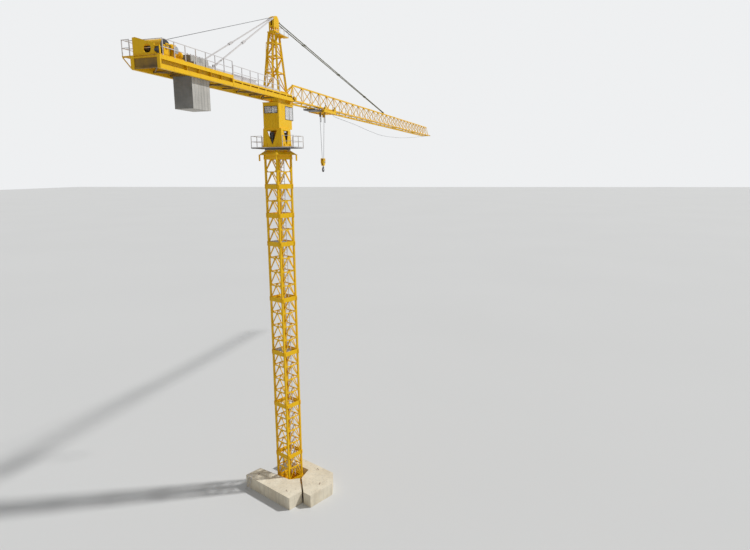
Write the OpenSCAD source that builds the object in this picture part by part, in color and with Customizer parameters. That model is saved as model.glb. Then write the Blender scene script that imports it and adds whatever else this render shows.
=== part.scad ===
// Trolley tower crane with a square lattice mast, a straight jib and a counter-jib with hung slabs.
// Scale model 1:2, millimetres. The origin is under the foot plate on the mast axis.
// The jib points along +X, the counter-jib along -X, and Z is up.

/* [Mast] */
// Outside width of the square mast
mast_w = 850; // [760:10:950]
// Height of one mast bay
bay_h = 625; // [560:5:680]
// Side of the square corner posts
post_w = 76; // [56:2:96]
// Turn of the mast and base against the jib
park_turn = -23.8; // [-45:0.1:45]

/* [Jib] */
// Distance of the jib tip from the mast axis
jib_reach = 30500; // [28000:100:31000]
// Distance between the centre lines of the two lower chords
jib_w = 620; // [560:10:700]
// Height from the lower chords to the upper chord, centre to centre
jib_h = 740; // [640:10:800]
// Distance of the trolley from the mast axis at rest
trolley_rest = 5250; // [3000:50:28000]
// Height of the hook block top under the trolley at rest
hook_drop = 2250; // [1000:50:8000]

/* [Counter-jib] */
// Distance of the rear end beam from the mast axis
counter_reach = 8250; // [7600:50:8600]
// Distance between the outsides of the two beams
counter_w = 1000; // [900:10:1150]
// Depth of the rear part of the two beams
beam_h = 380; // [350:5:410]
// Depth of their front part
front_h = 257; // [230:1:290]
// Height of the counterweight slabs
weight_h = 1640; // [1500:10:1800]

/* [Tower head] */
// Height of the head above the front part of the beams
head_h = 3130; // [2700:10:3250]

/* [Cab] */
// Length of the cab along the jib
cab_l = 1400; // [1300:10:1500]
// Width of the cab
cab_w = 720; // [680:10:800]
// Height of the cab
cab_h = 1060; // [1000:10:1120]

/* [Hidden] */

yellow = [0.93, 0.70, 0.10];
concrete = [0.72, 0.70, 0.64];
dark = [0.20, 0.20, 0.21];
pale = [0.82, 0.80, 0.79];
glass = [0.60, 0.72, 0.78];
olive = [0.42, 0.41, 0.30];

// Base
foot_h = 300;                  // height of the foot frame under the mast
plate_t = 25;                  // thickness of the foot plate
slab_h = 570;                  // height of the two base slabs
slab_end = 1300;               // end of both slabs on the +Y side of the mast
slab_pit = 620;                // half width of the pit around the foot
near_out = 1600;               // outer face of the near slab
near_end = 1780;               // its other end
near_in = 560;                 // inner face of the near slab at near_in_y
near_in_end = 760;             // and at the end of the slabs
near_in_y = -600;
far_out = 1180;                // outer face of the far slab
far_end = 2350;
far_cut_x = 680;               // sawn corner of the far slab
far_cut_y = 630;
slab_joint = 80;               // gap of the slanted joint between the slabs

// Mast
bays = [2, 4, 4, 4, 4, 2, 2, 2];
brace_w = 34;                  // diagonal bars
strut_w = 42;                  // level bars
collar_h = 100;                // half height of the joint collar
collar_t = 14;                 // plate thickness of the joint collar
post_c = mast_w / 2 - post_w / 2;

function bays_to(n) = n <= 0 ? 0 : bays[n - 1] + bays_to(n - 1);
function section_z(n) = foot_h + bay_h * bays_to(n);
mast_top = section_z(len(bays));

// Slewing parts
support_h = 290;
skirt_z = mast_top + 90;       // lower edge of the sloped skirt
skirt_half = 590;              // half width of the skirt there
neck_half = 385;               // and under the ring flange
ear_h = 250;                   // ears that hang down beside the posts
flange_plate = 20;
ring_r = 545;
ring_bore = 400;
ring_h = 47;
slew_gap = 0.3;                // running gap between the two slew rings
ring_low_z = mast_top + support_h;
ring_up_z = ring_low_z + ring_h + slew_gap;
deck_t = 24;
access_r = 200;                // hole in the slew deck
platform_z = ring_up_z + ring_h;
platform_x = 520;
platform_y = 1000;
rail_h = 480;
rail_w = 22;

// Turret, cab and crown
turret_z = platform_z + deck_t;
turret_x = 470;                // half length and half width at the foot
turret_y = 445;
turret_top_x = 455;            // and at the top
turret_top_y = 415;
turret_h = 780;
turret_t = 26;
cab_z = turret_z + turret_h;
cab_x = -500;
cab_wall = 24;
roof_z = cab_z + cab_h;
crown_gap = 120;               // height between the cab roof and the beams
crown_z = roof_z + crown_gap;
crown_h = 60;
beam_z = crown_z;
beam_top = beam_z + beam_h;
front_top = beam_z + front_h;

// Tower head
head_foot_x = 400;
head_foot_y = 335;
head_top_x = 165;
head_top_y = 140;
head_mid_x = 65;               // lean of the head towards the jib at its top
head_leg = 76;
head_leg_h = head_h - 640;
block_z = front_top + head_leg_h;
block_h = 640;

// Jib
chord_w = 64;
rail_lip = 56;                 // running lip outside each lower chord
rail_t = 12;
jib_z = crown_z + 92;          // centre line of the lower chords
jib_root = 700;
panels = [6, 6, 6, 6, 5];
panel_l = (jib_reach - jib_root) / 29;
web_w = 26;
root_bar = 44;

function panels_to(n) = n <= 0 ? 0 : panels[n - 1] + panels_to(n - 1);
function section_x(n) = jib_root + round(panel_l * panels_to(n));

// Bars

// Square bar from one point to another
module bar(p, q, t) {
    v = q - p;
    l = norm(v);
    translate(p)
        rotate([0, acos(v[2] / l), atan2(v[1], v[0])])
            translate([-t / 2, -t / 2, 0]) cube([t, t, l]);
}

// Round bar from one point to another
module rod(p, q, r, sides = 12) {
    v = q - p;
    l = norm(v);
    translate(p)
        rotate([0, acos(v[2] / l), atan2(v[1], v[0])])
            cylinder(h = l, r = r, $fn = sides);
}

// Box centred on its plan
module block(w, d, z, h) {
    translate([-w / 2, -d / 2, z]) cube([w, d, h]);
}

// Base

// The slabs lie on both sides of the mast and meet at a slanted joint on its -Y side
joint_x = -170;
joint_y = -880;
joint_run = 690;

module slab_near() {
    color(concrete) rotate([0, 0, park_turn]) linear_extrude(height = slab_h)
        polygon([[-near_out, -near_end], [joint_x - joint_run, -near_end], [joint_x, joint_y],
            [-near_in, near_in_y], [-near_in_end, slab_end], [-near_out, slab_end]]);
}

module slab_far() {
    color(concrete) rotate([0, 0, park_turn]) linear_extrude(height = slab_h)
        polygon([[slab_pit, slab_end], [far_out, slab_end], [far_out, -far_end + far_cut_y],
            [far_out - far_cut_x, -far_end], [joint_x - joint_run, -far_end],
            [joint_x - joint_run, -near_end - 1.5 * slab_joint],
            [joint_x + slab_joint, joint_y - slab_joint / 2], [slab_pit, -slab_pit]]);
}

foot_half = 540;               // half width of the foot plate

// Inner face of the near slab at a place along the mast's Y axis
function near_face(y) = -near_in - (near_in_end - near_in) * (y - near_in_y) / (slab_end - near_in_y);

module foot_frame() {
    beam = 110;
    anchor_z = 200;
    color(yellow) rotate([0, 0, park_turn]) union() {
        block(2 * foot_half, 2 * foot_half, 0, plate_t);
        // Level beams around the foot, low and high
        for (z = [plate_t - 1, foot_h - 140], k = [0, 90])
            rotate([0, 0, k]) for (s = [-1, 1])
                translate([0, s * post_c, 0]) block(2 * post_c, beam, z, beam);
        // Anchor beams from the corner shoes to the inner faces of the slabs
        for (s = [-1, 1], y = [-post_c, post_c])
            translate([0, 0, anchor_z]) linear_extrude(height = 80)
                polygon(s < 0 ?
                    [[-post_c, y - 45], [near_face(y - 45), y - 45], [near_face(y + 45), y + 45], [-post_c, y + 45]] :
                    [[post_c, y - 45], [slab_pit, y - 45], [slab_pit, y + 45], [post_c, y + 45]]);
        // Corner shoes under the posts, with gusset plates
        for (s = [-1, 1], t = [-1, 1])
            translate([s * post_c, t * post_c, 0]) {
                block(beam + 20, beam + 20, plate_t - 1, foot_h - plate_t + 1);
                block(180, 180, foot_h - 20, 20);
                block(200, 200, plate_t - 1, 30);
            }
    }
}

// One mast section of n bays that starts at z = 0
module mast_lattice(n) {
    top = n * bay_h;
    for (s = [-1, 1], t = [-1, 1])
        translate([s * post_c, t * post_c, 0]) block(post_w, post_w, 0, top);
    for (k = [0 : 3]) rotate([0, 0, 90 * k])
        for (i = [0 : n - 1]) {
            z0 = i * bay_h + strut_w / 2 + (i == 0 ? 10 : 0);
            z1 = (i + 1) * bay_h - (i == n - 1 ? strut_w / 2 + 10 : 0);
            bar([-post_c, -post_c, z0], [0, -post_c, z1], brace_w);
            bar([post_c, -post_c, z0], [0, -post_c, z1], brace_w);
            bar([-post_c, -post_c, z1], [post_c, -post_c, z1], strut_w);
            if (i == 0)
                bar([-post_c, -post_c, z0], [post_c, -post_c, z0], strut_w);
        }
}

// Half of the plate collar that covers a joint
module half_collar(z) {
    w = mast_w + 2 * collar_t;
    difference() {
        block(w, w, z, collar_h);
        block(mast_w - 6, mast_w - 6, z - 1, collar_h + 2);
    }
}

module mast_section(n) {
    top = bays[n - 1] * bay_h;
    color(yellow) rotate([0, 0, park_turn]) translate([0, 0, section_z(n - 1)]) union() {
        mast_lattice(bays[n - 1]);
        half_collar(0);
        half_collar(top - collar_h);
    }
}

module mast_section_1() { mast_section(1); }
module mast_section_2() { mast_section(2); }
module mast_section_3() { mast_section(3); }
module mast_section_4() { mast_section(4); }
module mast_section_5() { mast_section(5); }
module mast_section_6() { mast_section(6); }
module mast_section_7() { mast_section(7); }
module mast_section_8() { mast_section(8); }

module mast_ladder() {
    rail_y = 115;
    ladder_x = post_c - 170;
    step = 150;
    steps = floor((mast_top - foot_h - 200) / step);
    color(pale) rotate([0, 0, park_turn]) union() {
        for (s = [-1, 1])
            translate([ladder_x, s * rail_y, 0]) block(34, 12, foot_h - 40, mast_top - foot_h + 10);
        for (i = [1 : steps])
            translate([ladder_x, 0, foot_h + i * step]) block(14, 2 * rail_y, 0, 14);
        // Brackets out to the level bars at the section tops
        for (n = [1 : len(bays)])
            translate([ladder_x, 0, section_z(n) - strut_w / 2 - 25]) block(12, 2 * post_c - strut_w, 0, 30);
    }
}

module slab_ladder() {
    rail_y = 110;
    lean = 20;
    half = 13;
    foot_x = -near_out - slab_h * tan(lean) - half / cos(lean);
    color(pale) rotate([0, 0, park_turn]) translate([foot_x, slab_end - 320, 0])
        rotate([0, lean, 0]) union() {
            for (s = [-1, 1])
                translate([0, s * rail_y, 0]) block(2 * half, 14, half * tan(lean), 760);
            for (i = [1 : 5])
                block(14, 2 * rail_y, 140 * i, 14);
        }
}

module slew_support() {
    wall = 30;
    flange_z = mast_top + support_h - flange_plate;
    well = mast_w - 2 * post_w;
    color(yellow) rotate([0, 0, park_turn]) union() {
        // Collar on the mast top, and the plate at the lower edge of the skirt
        difference() {
            union() {
                block(mast_w, mast_w, mast_top, skirt_z - mast_top + 1);
                block(2 * skirt_half, 2 * skirt_half, skirt_z, flange_plate);
            }
            block(well, well, mast_top - 1, skirt_z - mast_top + flange_plate + 2);
        }
        // Sloped skirt up to the ring flange
        difference() {
            taper_box(skirt_half, neck_half, skirt_half, neck_half, skirt_z, flange_z - skirt_z + 5);
            taper_box(skirt_half - wall, neck_half - wall, skirt_half - wall, neck_half - wall,
                skirt_z - 1, flange_z - skirt_z + 10);
        }
        difference() {
            translate([0, 0, flange_z]) cylinder(h = flange_plate, r = ring_r);
            translate([0, 0, flange_z - 1]) cylinder(h = flange_plate + 2, r = ring_bore - 60);
        }
        // Ears that hang beside the posts
        for (s = [-1, 1], t = [-1, 1])
            translate([s * (skirt_half - wall), t * (skirt_half - wall), 0])
                block(50, 50, skirt_z - ear_h, ear_h + 10);
    }
}

module ring(z) {
    translate([0, 0, z]) difference() {
        cylinder(h = ring_h, r = ring_r);
        translate([0, 0, -1]) cylinder(h = ring_h + 2, r = ring_bore);
    }
}

module slew_ring_lower() {
    color(dark) rotate([0, 0, park_turn]) ring(ring_low_z);
}

module slew_ring_upper() {
    color(dark) ring(ring_up_z);
}

// Slew platform and turret

module platform_plate() {
    difference() {
        block(2 * platform_x, 2 * platform_y, platform_z, deck_t);
        translate([0, 0, platform_z - 1]) cylinder(h = deck_t + 2, r = access_r);
    }
}

// Railing posts and two rails along a line between two corners at height z
module fence(p, q, z, posts) {
    v = q - p;
    for (i = [0 : posts]) {
        c = p + v * i / posts;
        translate([c[0], c[1], 0]) block(rail_w, rail_w, z, rail_h);
    }
    for (h = [rail_h / 2, rail_h - rail_w / 2])
        bar([p[0], p[1], z + h], [q[0], q[1], z + h], rail_w - 4);
}

// Deck under the turret with a railing around each side wing
module slew_platform() {
    fx = platform_x - 20;
    fy = platform_y - 15;
    wing_y = turret_y + 40;
    color(pale) union() {
        platform_plate();
        for (s = [-1, 1]) {
            fence([-fx, s * wing_y], [-fx, s * fy], turret_z, 1);
            fence([fx, s * wing_y], [fx, s * fy], turret_z, 1);
            fence([-fx, s * fy], [fx, s * fy], turret_z, 2);
        }
    }
}

// Tapered box seen from the front, with half widths at the foot and the top
module taper_box(foot_x, top_x, foot_y, top_y, z, h) {
    intersection() {
        rotate([90, 0, 0]) translate([0, z, -foot_y]) linear_extrude(height = 2 * foot_y)
            polygon([[-foot_x, 0], [foot_x, 0], [top_x, h], [-top_x, h]]);
        rotate([90, 0, 90]) translate([0, z, -foot_x]) linear_extrude(height = 2 * foot_x)
            polygon([[-foot_y, 0], [foot_y, 0], [top_y, h], [-top_y, h]]);
    }
}

module turret() {
    opening = 232;
    color(yellow) union() {
        difference() {
            union() {
                taper_box(turret_x, turret_top_x, turret_y, turret_top_y, turret_z, turret_h);
                block(2 * turret_x + 20, 2 * turret_y + 20, turret_z, 70);
            }
            taper_box(turret_x - turret_t, turret_top_x - turret_t, turret_y - turret_t,
                turret_top_y - turret_t, turret_z - 1, turret_h + 2);
            // V-shaped openings between the legs
            for (k = [0, 90])
                rotate([90, 0, k]) translate([0, turret_z, -turret_x - 20])
                    linear_extrude(height = 2 * turret_x + 40)
                        polygon([[-14, 117], [14, 117], [opening, turret_h - 88], [-opening, turret_h - 88]]);
        }
        // Frame under the cab
        difference() {
            block(2 * turret_top_x - 4, 2 * turret_top_y - 4, cab_z - 20, 20);
            block(2 * turret_top_x - 140, 2 * turret_top_y - 140, cab_z - 21, 22);
        }
    }
}

module slew_drive() {
    base_r = 400;
    color(dark) union() {
        translate([0, 0, turret_z]) difference() {
            cylinder(h = 20, r = base_r);
            translate([0, 0, -1]) cylinder(h = 22, r = access_r);
        }
        for (c = [[-290, 95], [200, -265]]) {
            translate([c[0], c[1], turret_z + 10]) cylinder(h = 320, r = 115);
            translate([c[0], c[1], turret_z + 10]) cylinder(h = 590, r = 85);
        }
    }
}

sill_h = 350;                  // lower panel at the front
nose = 145;                    // the glazed front stands out this far past it
nose_h = 45;
glass_z = cab_z + sill_h + nose_h;
glass_h = 545;
glass_x = cab_x + 620;
glass_t = 12;
rear_glass_w = 590;
rear_glass_z = cab_z + 617;
rear_glass_h = 275;

module cab_shell() {
    low = cab_l - nose;
    t = cab_wall;
    color(yellow) difference() {
        rotate([90, 0, 0]) translate([cab_x, cab_z, -cab_w / 2]) linear_extrude(height = cab_w)
            polygon([[0, 0], [low, 0], [low, sill_h], [cab_l, sill_h + nose_h], [cab_l, cab_h], [0, cab_h]]);
        // Cabin space
        rotate([90, 0, 0]) translate([cab_x, cab_z, -cab_w / 2 + t]) linear_extrude(height = cab_w - 2 * t)
            polygon([[t, t], [low - t, t], [low - t, sill_h + t], [cab_l - t, sill_h + nose_h + t],
                [cab_l - t, cab_h - t], [t, cab_h - t]]);
        // Front window that wraps both corners
        translate([glass_x, -cab_w / 2 - 1, glass_z]) cube([cab_l, cab_w + 2, glass_h]);
        // Rear window band
        translate([cab_x - 1, -rear_glass_w / 2, rear_glass_z]) cube([t + 2, rear_glass_w, rear_glass_h]);
    }
}

module cab_glass_front() {
    l = cab_x + cab_l - glass_x;
    color(glass) difference() {
        translate([glass_x, -cab_w / 2, glass_z]) cube([l, cab_w, glass_h]);
        translate([glass_x - 1, -cab_w / 2 + glass_t, glass_z - 1])
            cube([l + 1 - glass_t, cab_w - 2 * glass_t, glass_h + 2]);
    }
}

module cab_glass_rear() {
    color(glass) translate([cab_x + 6, -rear_glass_w / 2, rear_glass_z]) cube([glass_t, rear_glass_w, rear_glass_h]);
}

module turret_crown() {
    x0 = cab_x + 20;
    l = 1080;
    pedestal_x = 190;
    housing_w = 260;
    color(yellow) union() {
        difference() {
            translate([x0, -counter_w / 2 + beam_flange, crown_z]) cube([l, counter_w - 2 * beam_flange, crown_h]);
            translate([x0 + 140, -cab_w / 2 + 90, crown_z - 1]) cube([l - 280, cab_w - 180, crown_h + 2]);
        }
        // Pedestal on the cab roof, with a housing behind it on the near side
        translate([pedestal_x, -cab_w / 2, roof_z]) cube([x0 + l - pedestal_x, cab_w, crown_gap + 5]);
        translate([x0, -cab_w / 2, roof_z]) cube([pedestal_x - x0 + 5, housing_w, crown_gap + 5]);
        // Lugs that hold the jib
        for (s = [-1, 1])
            translate([x0 + l - 1, s * jib_w / 2 - 45, crown_z])
                cube([jib_root - x0 - l + 1, 90, jib_z + chord_w / 2 - crown_z]);
    }
}

// Tower head

// Point on a head leg at the share t of its height
function leg_at(s, t, k) = [s * (head_foot_x + (head_top_x - head_foot_x) * k) + head_mid_x * k,
    t * (head_foot_y + (head_top_y - head_foot_y) * k), front_top + head_leg_h * k];

module tower_head() {
    foot_w = counter_w - 2 * beam_flange;
    steps = [0.03, 0.34, 0.60, 0.82, 0.98];
    step_z = block_z - 150;
    step_y = 400;
    color(yellow) union() {
        for (s = [-1, 1], t = [-1, 1])
            bar(leg_at(s, t, 0.015), leg_at(s, t, 0.985), head_leg);
        for (k = steps) {
            for (s = [-1, 1]) {
                bar(leg_at(s, -1, k), leg_at(s, 1, k), 44);
                bar(leg_at(-1, s, k), leg_at(1, s, k), 44);
            }
        }
        for (i = [0 : 3]) {
            a = steps[i];
            b = steps[i + 1];
            for (s = [-1, 1]) {
                f = s * (i % 2 == 0 ? 1 : -1);
                bar(leg_at(s, -f, a), leg_at(s, f, b), 32);
                bar(leg_at(-f, s, a), leg_at(f, s, b), 32);
            }
        }
        // Foot beams over the turret, between the two counter beams
        for (s = [-1, 1])
            translate([s * head_foot_x, 0, 0]) block(120, foot_w, front_top - 110, 170);
        // Cap under the head block
        translate([head_mid_x, 0, 0]) block(2 * head_top_x + 110, 2 * head_top_y + 110, block_z - 50, 50);
        // Service step on the near side, on two brackets
        translate([-180, -step_y, step_z]) cube([820, step_y - head_top_y - 10, 18]);
        for (x = [-118, 240])
            translate([x - 8, 0, step_z]) rotate([90, 0, 90]) linear_extrude(height = 16)
                polygon([[-head_top_y - 10, 1], [-step_y + 10, 1], [-step_y + 10, -12], [-head_top_y - 10, -120]]);
    }
}

head_back = 203;               // rear and front face of the head block from its middle
head_nose = 265;

// Block with the pulley slot at the top of the head
module head_block() {
    half = 120;
    slot = 70;
    color(yellow) translate([head_mid_x, 0, 0]) difference() {
        rotate([90, 0, 0]) translate([0, block_z, -half]) linear_extrude(height = 2 * half)
            polygon([[-head_back, 0], [head_nose - 25, 0], [head_nose, 300], [head_nose, 505],
                [130, block_h], [20, block_h], [-head_back, 530]]);
        translate([-head_back - 1, -slot / 2, block_z + 230])
            cube([head_back + head_nose + 2, slot, block_h]);
        // Lightening holes
        for (x = [-90, 110])
            rotate([90, 0, 0]) translate([x, block_z + 120, -half - 1]) cylinder(h = 2 * half + 2, r = 62);
        translate([-head_back - 1, -half + 35, block_z + 40])
            cube([head_back + head_nose + 2, 2 * half - 70, 140]);
    }
}

sheave_r = 165;
sheave_t = 50;
groove_w = 24;
groove_d = 16;
sheave_z = block_z + 430;

module head_sheave() {
    slot = 70;
    color(dark) rotate([90, 0, 0]) translate([head_mid_x, sheave_z, 0]) union() {
        difference() {
            translate([0, 0, -sheave_t / 2]) cylinder(h = sheave_t, r = sheave_r);
            translate([0, 0, -groove_w / 2]) difference() {
                cylinder(h = groove_w, r = sheave_r + 1);
                translate([0, 0, -1]) cylinder(h = groove_w + 2, r = sheave_r - groove_d);
            }
        }
        translate([0, 0, -slot / 2]) cylinder(h = slot, r = 30);
    }
}

module head_ladder() {
    rail_y = 110;
    rail_d = 12;
    out = 120;
    lean = atan((head_foot_x - head_top_x + head_mid_x) / head_leg_h);
    l = (head_leg_h - 140) / cos(lean);
    rungs = floor(l / 150);
    cage_z = 520;
    hoops = 6;
    hoop_step = 280;
    hoop_h = 20;
    hoop_r = 190;
    hoop_t = 12;
    flat_r = (hoop_r - hoop_t / 2) * cos(15);
    color(pale) union() {
        // Stays to the level bars of the head
        for (k = [0.34, 0.60, 0.82]) {
            face = leg_at(-1, 0, k) - [22, 0, 10];
            line = -head_foot_x - out + (head_leg_h * k - 70) * tan(lean);
            for (s = [-1, 1])
                translate([line, s * rail_y - 4, face[2]]) cube([face[0] - line, 8, 20]);
        }
        translate([-head_foot_x - out, 0, front_top + 70]) rotate([0, lean, 0]) union() {
            for (s = [-1, 1])
                translate([0, s * rail_y, 0]) block(28, rail_d, 0, l);
            for (i = [1 : rungs - 1])
                block(14, 2 * rail_y, i * 150, 14);
            // Cage of flat-sided half hoops, strips between them and links to the rails
            for (a = [120, 180, 240])
                rotate([0, 0, a]) translate([flat_r, 0, 0])
                    block(hoop_t + 4, 30, cage_z + 6, (hoops - 1) * hoop_step + hoop_h - 12);
            for (i = [0 : hoops - 1])
                translate([0, 0, cage_z + i * hoop_step]) union() {
                    difference() {
                        rotate([0, 0, 15]) cylinder(h = hoop_h, r = hoop_r, $fn = 12);
                        translate([0, 0, -1]) rotate([0, 0, 15])
                            cylinder(h = hoop_h + 2, r = hoop_r - hoop_t, $fn = 12);
                        translate([0, -200, -1]) cube([400, 400, hoop_h + 2]);
                    }
                    for (s = [-1, 1])
                        translate([-20, s * (rail_y + flat_r) / 2 - (flat_r - rail_y) / 2, 3])
                            cube([14, flat_r - rail_y, hoop_h - 6]);
                }
        }
    }
}

// Counter-jib

beam_flange = 100;
beam_c = counter_w / 2 - beam_flange / 2;
beam_in = counter_w / 2 - beam_flange;
beam_front = 620;
beam_joint = -counter_reach + 4020;
beam_wall = 12;
weight_x0 = -counter_reach + 1720;
weight_l = 990;

// Hollow beam from x0 to x1
module beam_box(x0, x1, h) {
    difference() {
        translate([x0, -beam_flange / 2, beam_z]) cube([x1 - x0, beam_flange, h]);
        translate([x0 + 20, -beam_flange / 2 + beam_wall, beam_z + beam_wall])
            cube([x1 - x0 - 40, beam_flange - 2 * beam_wall, h - 2 * beam_wall]);
    }
}

// Two beam lengths of different depth, with slots in the outer side
module counter_beam(s) {
    slots = 8;
    pitch = (beam_front - beam_joint) / slots;
    color(yellow) translate([0, s * beam_c, 0]) difference() {
        union() {
            beam_box(-counter_reach, beam_joint, beam_h);
            beam_box(beam_joint, beam_front, front_h);
        }
        translate([0, s * (beam_flange - beam_wall) / 2, 0]) union() {
            translate([-counter_reach + 60, -beam_wall / 2 - 1, beam_z + 125])
                cube([beam_joint + counter_reach - 120, beam_wall + 2, 140]);
            for (i = [0 : slots - 1])
                translate([beam_joint + 35 + i * pitch, -beam_wall / 2 - 1, beam_z + 150])
                    cube([pitch - 70, beam_wall + 2, 48]);
        }
    }
}

module counter_beam_near() { counter_beam(-1); }
module counter_beam_far() { counter_beam(1); }

// Cross bars and diagonals between the two beams, from x0 to x1
module beam_bracing(x0, x1, n) {
    half = beam_in;
    z = beam_z + 60;
    step = (x1 - x0) / n;
    for (i = [0 : n])
        translate([x0 + i * step, 0, 0]) block(50, 2 * half, z - 25, 50);
    for (i = [0 : n - 1]) {
        a = (i % 2 == 0 ? -1 : 1) * (half - 45);
        bar([x0 + i * step, a, z], [x0 + (i + 1) * step, -a, z], 32);
    }
}

// Bracing by the winch, with a channel across the rear end
module end_bracing() {
    flange = 45;
    color(yellow) union() {
        beam_bracing(-counter_reach + 55, weight_x0 - 60, 2);
        difference() {
            translate([-counter_reach, -beam_in, beam_z + 20]) cube([40, 2 * beam_in, beam_h - 40]);
            translate([-counter_reach - 1, -beam_in - 1, beam_z + 20 + flange])
                cube([30, 2 * beam_in + 2, beam_h - 40 - 2 * flange]);
        }
    }
}

module walkway_bracing() {
    color(yellow) beam_bracing(weight_x0 + weight_l + 60, -560, 5);
}

deck_plate = 18;
deck_top = beam_top + deck_plate;
deck_half = counter_w / 2 - 32;

// Walkway with a step down at the joint of the beams
module walkway_deck() {
    x0 = weight_x0 + weight_l + 40;
    riser = 12;
    color(pale) union() {
        translate([x0, -deck_half, beam_top]) cube([beam_joint + riser - x0, 2 * deck_half, deck_plate]);
        translate([beam_joint, -deck_half, front_top]) cube([riser, 2 * deck_half, beam_top - front_top + 1]);
        translate([beam_joint, -deck_half, front_top]) cube([-540 - beam_joint, 2 * deck_half, deck_plate]);
    }
}

side_deck = 805;               // the deck by the winch reaches this far to the far side
side_fence = side_deck - 15;
near_rail = 173;               // the near railing starts this far from the rear end

// Deck by the winch, wider on the far side, where brackets and a railing carry it
module end_deck() {
    x0 = -counter_reach;
    x1 = weight_x0 - 40;
    arm = side_deck - counter_w / 2 - 5;
    color(pale) union() {
        translate([x0, -deck_half, beam_top]) cube([x1 - x0, deck_half + side_deck, deck_plate]);
        for (x = [x0 + 10, (x0 + x1) / 2 - 12, x1 - 34])
            translate([x, counter_w / 2, 0]) rotate([90, 0, 90]) linear_extrude(height = 24)
                difference() {
                    polygon([[0, beam_z + 30], [24, beam_z + 30], [arm, beam_top - 30],
                        [arm, beam_top + 1], [0, beam_top + 1]]);
                    polygon([[24, beam_z + 67], [arm - 30, beam_top - 28], [24, beam_top - 28]]);
                }
        fence([x0 + 15, side_fence], [x1 - 15, side_fence], beam_top + 1, 3);
        fence([x0 + 15, counter_w / 2 + 35], [x0 + 15, side_fence], beam_top + 1, 1);
        fence([x1 - 15, counter_w / 2 + 35], [x1 - 15, side_fence], beam_top + 1, 1);
        // Rails behind the winch
        for (h = [rail_h / 2, rail_h - rail_w / 2])
            bar([x0 + near_rail, (rail_w - counter_w) / 2 + 15, beam_top + 1 + h],
                [x0 + near_rail, side_fence, beam_top + 1 + h], rail_w - 4);
    }
}

module counter_railing(s) {
    y = s * (counter_w / 2 - 15);
    end = beam_joint - 15;
    start = beam_joint + 20;
    color(pale) union() {
        if (s < 0)
            fence([-counter_reach + near_rail, y], [end, y], beam_top, 7);
        else
            fence([weight_x0 - 15, y], [end, y], beam_top, 4);
        fence([start, y], [-560, y], front_top, 6);
        for (z = [front_top + rail_h / 2, front_top + rail_h - rail_w / 2])
            bar([end, y, z], [start, y, z], rail_w - 4);
    }
}

module railing_near() { counter_railing(-1); }
module railing_far() { counter_railing(1); }

weight_gap = 4;
weight_slabs = 6;
weight_top = beam_top + 305;
shoulder_h = 90;               // shoulders that rest on the beam tops

// Cast slabs that hang between the beams by their shoulders
module counterweight() {
    t = weight_l / weight_slabs;
    half = 345;
    out = counter_w / 2 - 35;
    z0 = weight_top - weight_h;
    color(concrete) for (n = [0 : weight_slabs - 1])
        translate([weight_x0 + n * t, 0, 0]) rotate([90, 0, 90]) linear_extrude(height = t - weight_gap)
            polygon([[-half, z0], [half, z0], [half, beam_top], [out, beam_top], [out, beam_top + shoulder_h],
                [half, beam_top + shoulder_h], [half, weight_top], [-half, weight_top],
                [-half, beam_top + shoulder_h], [-out, beam_top + shoulder_h], [-out, beam_top],
                [-half, beam_top]]);
}

// Hoist winch

drum_x = -counter_reach + 550;
drum_z = deck_top + 290;
drum_r = 150;

module hoist_frame() {
    skid_l = 1330;
    skid_x = -counter_reach + 40;
    color(yellow) union() {
        for (s = [-1, 1])
            translate([skid_x, s * 330 - 30, deck_top]) cube([skid_l, 60, 60]);
        for (x = [skid_x, skid_x + skid_l - 60])
            translate([x, -330, deck_top]) cube([60, 660, 60]);
        // Rear plate with a round opening
        difference() {
            rotate([90, 0, 90]) translate([0, deck_top, skid_x]) linear_extrude(height = 30)
                polygon([[-300, 0], [440, 0], [440, 500], [340, 510], [-300, 310]]);
            translate([skid_x - 1, -55, deck_top + 170]) rotate([0, 90, 0]) cylinder(h = 32, r = 130);
        }
        // Bearing plates of the drum
        for (s = [-1, 1])
            translate([drum_x, s * 330, 0]) block(260, 30, deck_top, 340);
    }
}

module hoist_drum() {
    color(dark) translate([drum_x, 0, drum_z]) rotate([90, 0, 0]) translate([0, 0, -315]) union() {
        cylinder(h = 630, r = drum_r);
        cylinder(h = 20, r = drum_r + 70);
        translate([0, 0, 610]) cylinder(h = 20, r = drum_r + 70);
    }
}

// Gearbox with the motor lying along the beams
module hoist_motor() {
    motor_y = -60;
    color(yellow) translate([-counter_reach + 1130, 0, deck_top]) union() {
        block(340, 420, 0, 50);
        translate([-40, motor_y, 0]) block(220, 300, 40, 420);
        translate([40, motor_y, 230]) rotate([0, 90, 0]) cylinder(h = 420, r = 110);
        translate([410, motor_y, 0]) block(50, 150, 0, 140);
    }
}

module power_cabinets() {
    z = front_top + deck_plate;
    color(pale) union() {
        translate([beam_joint + 570, -165, z]) cube([1670, 330, 20]);
        translate([beam_joint + 570, -160, z]) cube([600, 320, 230]);
        translate([beam_joint + 1250, -160, z]) cube([990, 320, 225]);
    }
}

// Ties of the counter-jib and the jib

tie_w = 40;
tie_y = 60;                    // half the distance of the two ties at the head

module counter_tie(s) {
    face = head_mid_x - head_back;
    foot = [weight_x0 + weight_l + 180, s * (beam_c - 10), deck_top + 110];
    top = [face - 20, s * tie_y, block_z + 480];
    v = top - foot;
    color(pale) union() {
        bar(foot, top, tie_w);
        bar(foot + v * 0.43, foot + v * 0.47, 76);
        // Pin lugs at the ends
        translate([foot[0], foot[1], 0]) block(120, 50, deck_top, 150);
        translate([face - 40, s * tie_y - 25, block_z + 435]) cube([40, 50, 90]);
    }
}

module counter_tie_near() { counter_tie(-1); }
module counter_tie_far() { counter_tie(1); }

tie_x = 16250;
chord_top = jib_z + jib_h + chord_w / 2;
tie_pad = 30;

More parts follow.
